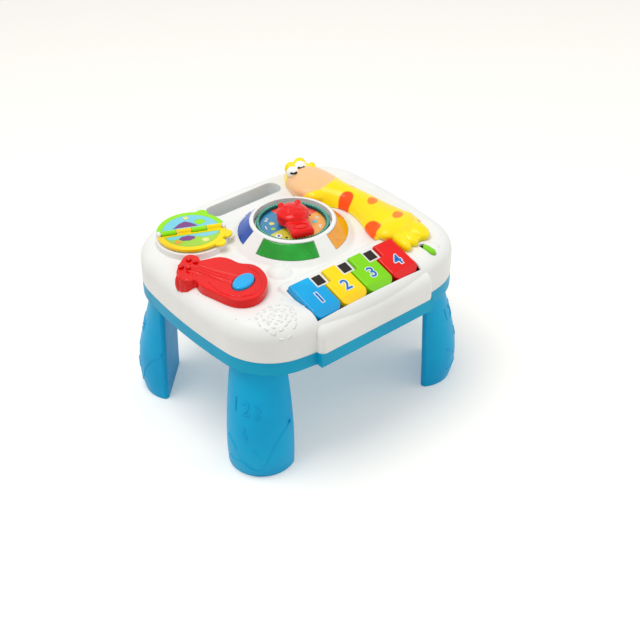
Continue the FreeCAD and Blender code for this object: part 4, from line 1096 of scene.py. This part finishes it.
@dataclass
class Giraffe:
    """The yellow giraffe lying along the right side, one moulding with sprayed patches."""

    muzzle: Tuple[Form, ...] = (
        ((57.0, 48.0, 159.0), (20.5, 21.5, 8.4), (0, 0, -16)),
        ((50.0, 38.0, 157.5), (12.5, 13.0, 7.2), (0, 0, -20)),
        ((60.0, 58.0, 160.0), (16.0, 11.0, 7.0), (0, 0, -10)))
    head: Tuple[Form, ...] = (
        ((64.0, 72.0, 157.0), (15.5, 13.5, 8.4), (0, 0, 0)),
        ((57.5, 81.0, 161.5), (6.2, 5.0, 6.0), (0, 0, 0)),
        ((67.0, 80.5, 162.5), (6.6, 5.0, 6.2), (0, 0, 0)),
        ((72.5, 68.7, 163.6), (3.4, 3.4, 3.8), (0, 0, 0)))
    limbs: Tuple[Form, ...] = (
        ((70.0, -47.0, 157.0), (23.0, 14.0, 8.0), (0, 0, 14)),
        ((59.6, -64.5, 153.5), (5.6, 14.0, 6.2), (0, 0, -6)),
        ((67.5, -64.0, 153.5), (5.6, 12.5, 6.0), (0, 0, 6)),
        ((82.0, -59.0, 153.5), (9.5, 15.5, 6.6), (0, 0, -2)),
        ((76.0, -56.0, 153.0), (8.0, 11.0, 6.0), (0, 0, 0)))
    eyes: Tuple[Point, ...] = ((52.2, 71.6, 163.4), (62.6, 73.6, 164.4))
    eye_radius: float = 5.7
    eye_shape: Point = (1.0, 0.95, 0.9)
    # The lashes: where the eyes look, half the lash's angle in radians, steps each way, the rise of
    # its ends and the sag of its middle, how far out it lies on the eye, and its bead.
    toward: Vector = field(default_factory=lambda: Vector((-0.42, -0.9, 0)))
    across: Vector = field(default_factory=lambda: Vector((0.9, -0.42, 0)))
    lash_angle: float = 0.62
    lash_steps: int = 4
    lash_rise: float = 0.42
    lash_sag: float = 0.16
    lash_reach: float = 0.93
    lash_bead: float = 0.95
    patches: Tuple[Patch, ...] = (
        Patch(53.0, 52.0, 26.0, 20.0, "F9C48C", -24),
        Patch(61.5, 8.5, 7.6, 6.6, "FF5000", 30, soft=0.08),
        Patch(50.5, -37, 6.5, 9.5, "FF5A00", 10, soft=0.1),
        Patch(79.5, 20, 6.0, 2.2, "F58A00", 70, soft=0.12),
        Patch(73.0, -14.0, 6.4, 4.6, "F58600", 40, soft=0.12),
        Patch(75.0, -44.0, 6.4, 4.2, "F58600", 25, soft=0.12),
        Patch(95, -30, 2.2, 4.2, "F58A00", 0, soft=0.15),
        Patch(93, -55, 2.0, 4.0, "E87800", 10, soft=0.15))

    def build(self) -> None:
        """Sculpts and paints the giraffe."""
        parts = [Bench.copy_node("giraffe_body", "giraffe_core")]
        for centre, radii, turn in self.muzzle + self.head + self.limbs:
            parts.append(Bench.ball(centre, radii, turn))
        form = Bench.sculpt(parts, "giraffe_figure", voxel=0.7, rounds=10)
        paint = PaintedPlastic("sprayed_yellow_abs", "FFE600", "FFDA00", 0.22, 0.8, 0.006, 0.12,
                               patches=self.patches)
        finish_piece(form, paint, replaces="giraffe_body")
        for index, (x, y, z) in enumerate(self.eyes):
            ball = Bench.ball((x, y, z), tuple(self.eye_radius * share for share in self.eye_shape))
            ball.name = "giraffe_eye_%d" % index
            finish_piece(ball, Finish.EYE)
            lash = []
            for step in range(-self.lash_steps, self.lash_steps + 1):
                side = step / self.lash_steps * self.lash_angle
                line = self.toward * math.cos(side) + self.across * math.sin(side)
                rise = self.lash_rise - self.lash_sag * math.cos(side * 2)
                line = (line.normalized() + Vector((0, 0, rise))).normalized()
                lash.append(vec(x, y, z) + line * mm(self.eye_radius * self.lash_reach))
            lid = Bench.tube(lash, self.lash_bead, "giraffe_lash_%d" % index)
            finish_piece(lid, Finish.INK_DARK)


@dataclass
class PlainPieces:
    """The pieces that keep their CAD form and only get a finish, seen and unseen."""

    looks: Dict[Finish, Tuple[str, ...]] = field(default_factory=lambda: {
        Finish.WHITE: ("top_shell",),
        Finish.RIM: ("base_shell", "battery_door"),
        Finish.BLUE: tuple(side.value[0] for side in Side),
        # The ring's dark teal is painted shade for the gaps between its light teeth.
        Finish.RING: ("ratchet_ring",),
        Finish.GREEN: ("power_switch_cap",),
        Finish.BLACK: ("black_key_inlays", "guitar_switch", "power_switch_body", "sound_chip"),
        Finish.INK_SKY: ("page_green_print", "book_base_print"),
        Finish.INK_GRASS: ("page_yellow_print",),
        Finish.NYLON: ("knob_clip",),
        Finish.BOARD: ("circuit_board", "light_board", "key_board"),
        Finish.CONE: ("speaker",),
        Finish.LAMP: ("light_leds",),
        Finish.SILICONE: ("key_contact_pads",),
        Finish.CELL: ("battery_cells",),
        Finish.STEEL: ("knob_axle", "book_hinge_pin", "battery_contacts", "door_screw",
                       "case_screws", "key_hinge_rod")})

    def build(self) -> None:
        """Dresses the pieces."""
        for finish, nodes in self.looks.items():
            dress(nodes, finish)


@dataclass
class Studio:
    """Pale floor, soft lamps and the camera of the photograph."""

    azimuth_deg: float = -39.6
    elevation_deg: float = 36.88
    roll_deg: float = -0.14
    distance: float = 1073.9
    target: Point = (-0.27, -30.29, 80.0)
    lens: float = 69.21
    sensor: float = 36.0
    floor_size: float = 12.0
    floor_drop: float = 0.2
    floor_glow: float = 0.22
    sky: float = 0.62
    # Name, place, aim, size in metres and power in watts of each lamp.
    lamps: Tuple[Tuple[str, Point, Point, float, float], ...] = (
        ("key_softbox", (-350, 100, 1300), (0, 0, 120), 0.7, 8.0),
        ("fill_softbox", (1000, -700, 700), (0, 0, 100), 1.2, 3.5))

    @staticmethod
    def seen(tree: Tree) -> Socket:
        """1 for rays that show the background: camera, mirror and see-through rays."""
        path = add(tree, "ShaderNodeLightPath")
        seen = path.outputs["Is Camera Ray"]
        for kind in ("Is Glossy Ray", "Is Transmission Ray"):
            seen = add(tree, "ShaderNodeMath", {0: seen, 1: path.outputs[kind]},
                       operation="MAXIMUM").outputs[0]
        return seen

    def floor(self) -> None:
        """A wide pale floor that keeps the shadow."""
        Bench.clear()
        bpy.ops.mesh.primitive_grid_add(x_subdivisions=4, y_subdivisions=4, size=self.floor_size,
                                        location=vec(0, 0, -self.floor_drop))
        ground = Bench.settle(bpy.context.active_object)
        ground.name = "studio_floor"
        material, tree = new_material("pale_matt_floor")
        plain = add(tree, "ShaderNodeBsdfDiffuse", {"Color": srgb("F6F2EC")})
        glow = add(tree, "ShaderNodeEmission", {
            "Color": srgb("FFFFFF"), "Strength": self.floor_glow})
        lifted = add(tree, "ShaderNodeAddShader", {0: plain.outputs[0], 1: glow.outputs[0]})
        mix = add(tree, "ShaderNodeMixShader", {
            0: self.seen(tree), 1: plain.outputs[0], 2: lifted.outputs[0]})
        add(tree, "ShaderNodeOutputMaterial", {"Surface": mix.outputs[0]})
        ground.data.materials.append(material)

    def world(self) -> None:
        """Even sky light, white where it is seen."""
        world = bpy.data.worlds.new("studio_world")
        bpy.context.scene.world = world
        world.use_nodes = True
        tree = world.node_tree
        tree.nodes.clear()
        light = add(tree, "ShaderNodeBackground", {"Color": srgb("F6F6F4"), "Strength": self.sky})
        white = add(tree, "ShaderNodeBackground", {"Color": srgb("FFFFFF"), "Strength": 1.0})
        mix = add(tree, "ShaderNodeMixShader", {
            0: self.seen(tree), 1: light.outputs[0], 2: white.outputs[0]})
        add(tree, "ShaderNodeOutputWorld", {"Surface": mix.outputs[0]})

    @staticmethod
    def lamp(name: str, place: Point, aim: Point, size: float, power: float) -> None:
        """A soft square lamp, with place and aim in millimetres."""
        data = bpy.data.lights.new(name, "AREA")
        data.size = size
        data.energy = power
        obj = bpy.data.objects.new(name, data)
        bpy.context.collection.objects.link(obj)
        obj.location = vec(*place)
        obj.rotation_euler = (vec(*aim) - vec(*place)).to_track_quat("-Z", "Y").to_euler()

    def camera(self) -> None:
        """The photograph's viewpoint."""
        azimuth, elevation = math.radians(self.azimuth_deg), math.radians(self.elevation_deg)
        level = math.cos(elevation)
        back = Vector((math.sin(azimuth) * level, -math.cos(azimuth) * level, math.sin(elevation)))
        right = Vector((math.cos(azimuth), math.sin(azimuth), 0))
        up = back.cross(right)
        roll = math.radians(self.roll_deg)
        across = right * math.cos(roll) + up * math.sin(roll)
        upward = back.cross(across)
        turn = Matrix((across, upward, back)).transposed()
        data = bpy.data.cameras.new("photo_camera")
        data.lens = self.lens
        data.sensor_width = self.sensor
        data.clip_end = 50
        obj = bpy.data.objects.new("photo_camera", data)
        bpy.context.collection.objects.link(obj)
        place = vec(*self.target) + back * mm(self.distance)
        obj.matrix_world = Matrix.Translation(place) @ turn.to_4x4()
        bpy.context.scene.camera = obj

    def build(self) -> None:
        """Sets the stage."""
        self.floor()
        self.world()
        for lamp in self.lamps:
            self.lamp(*lamp)
        self.camera()
        bpy.context.scene.view_settings.view_transform = "Standard"


def main() -> None:
    """Builds each sub-assembly in order and reports it."""
    logging.basicConfig(level=logging.INFO, format="%(name)s: %(message)s")
    for part in (Shells(), Legs(), Keyboard(), Console(), Book(), Guitar(), Giraffe(),
                 PlainPieces(), Studio()):
        part.build()
        LOG.info("%s is done", type(part).__name__)


if __name__ == "__main__":
    main()
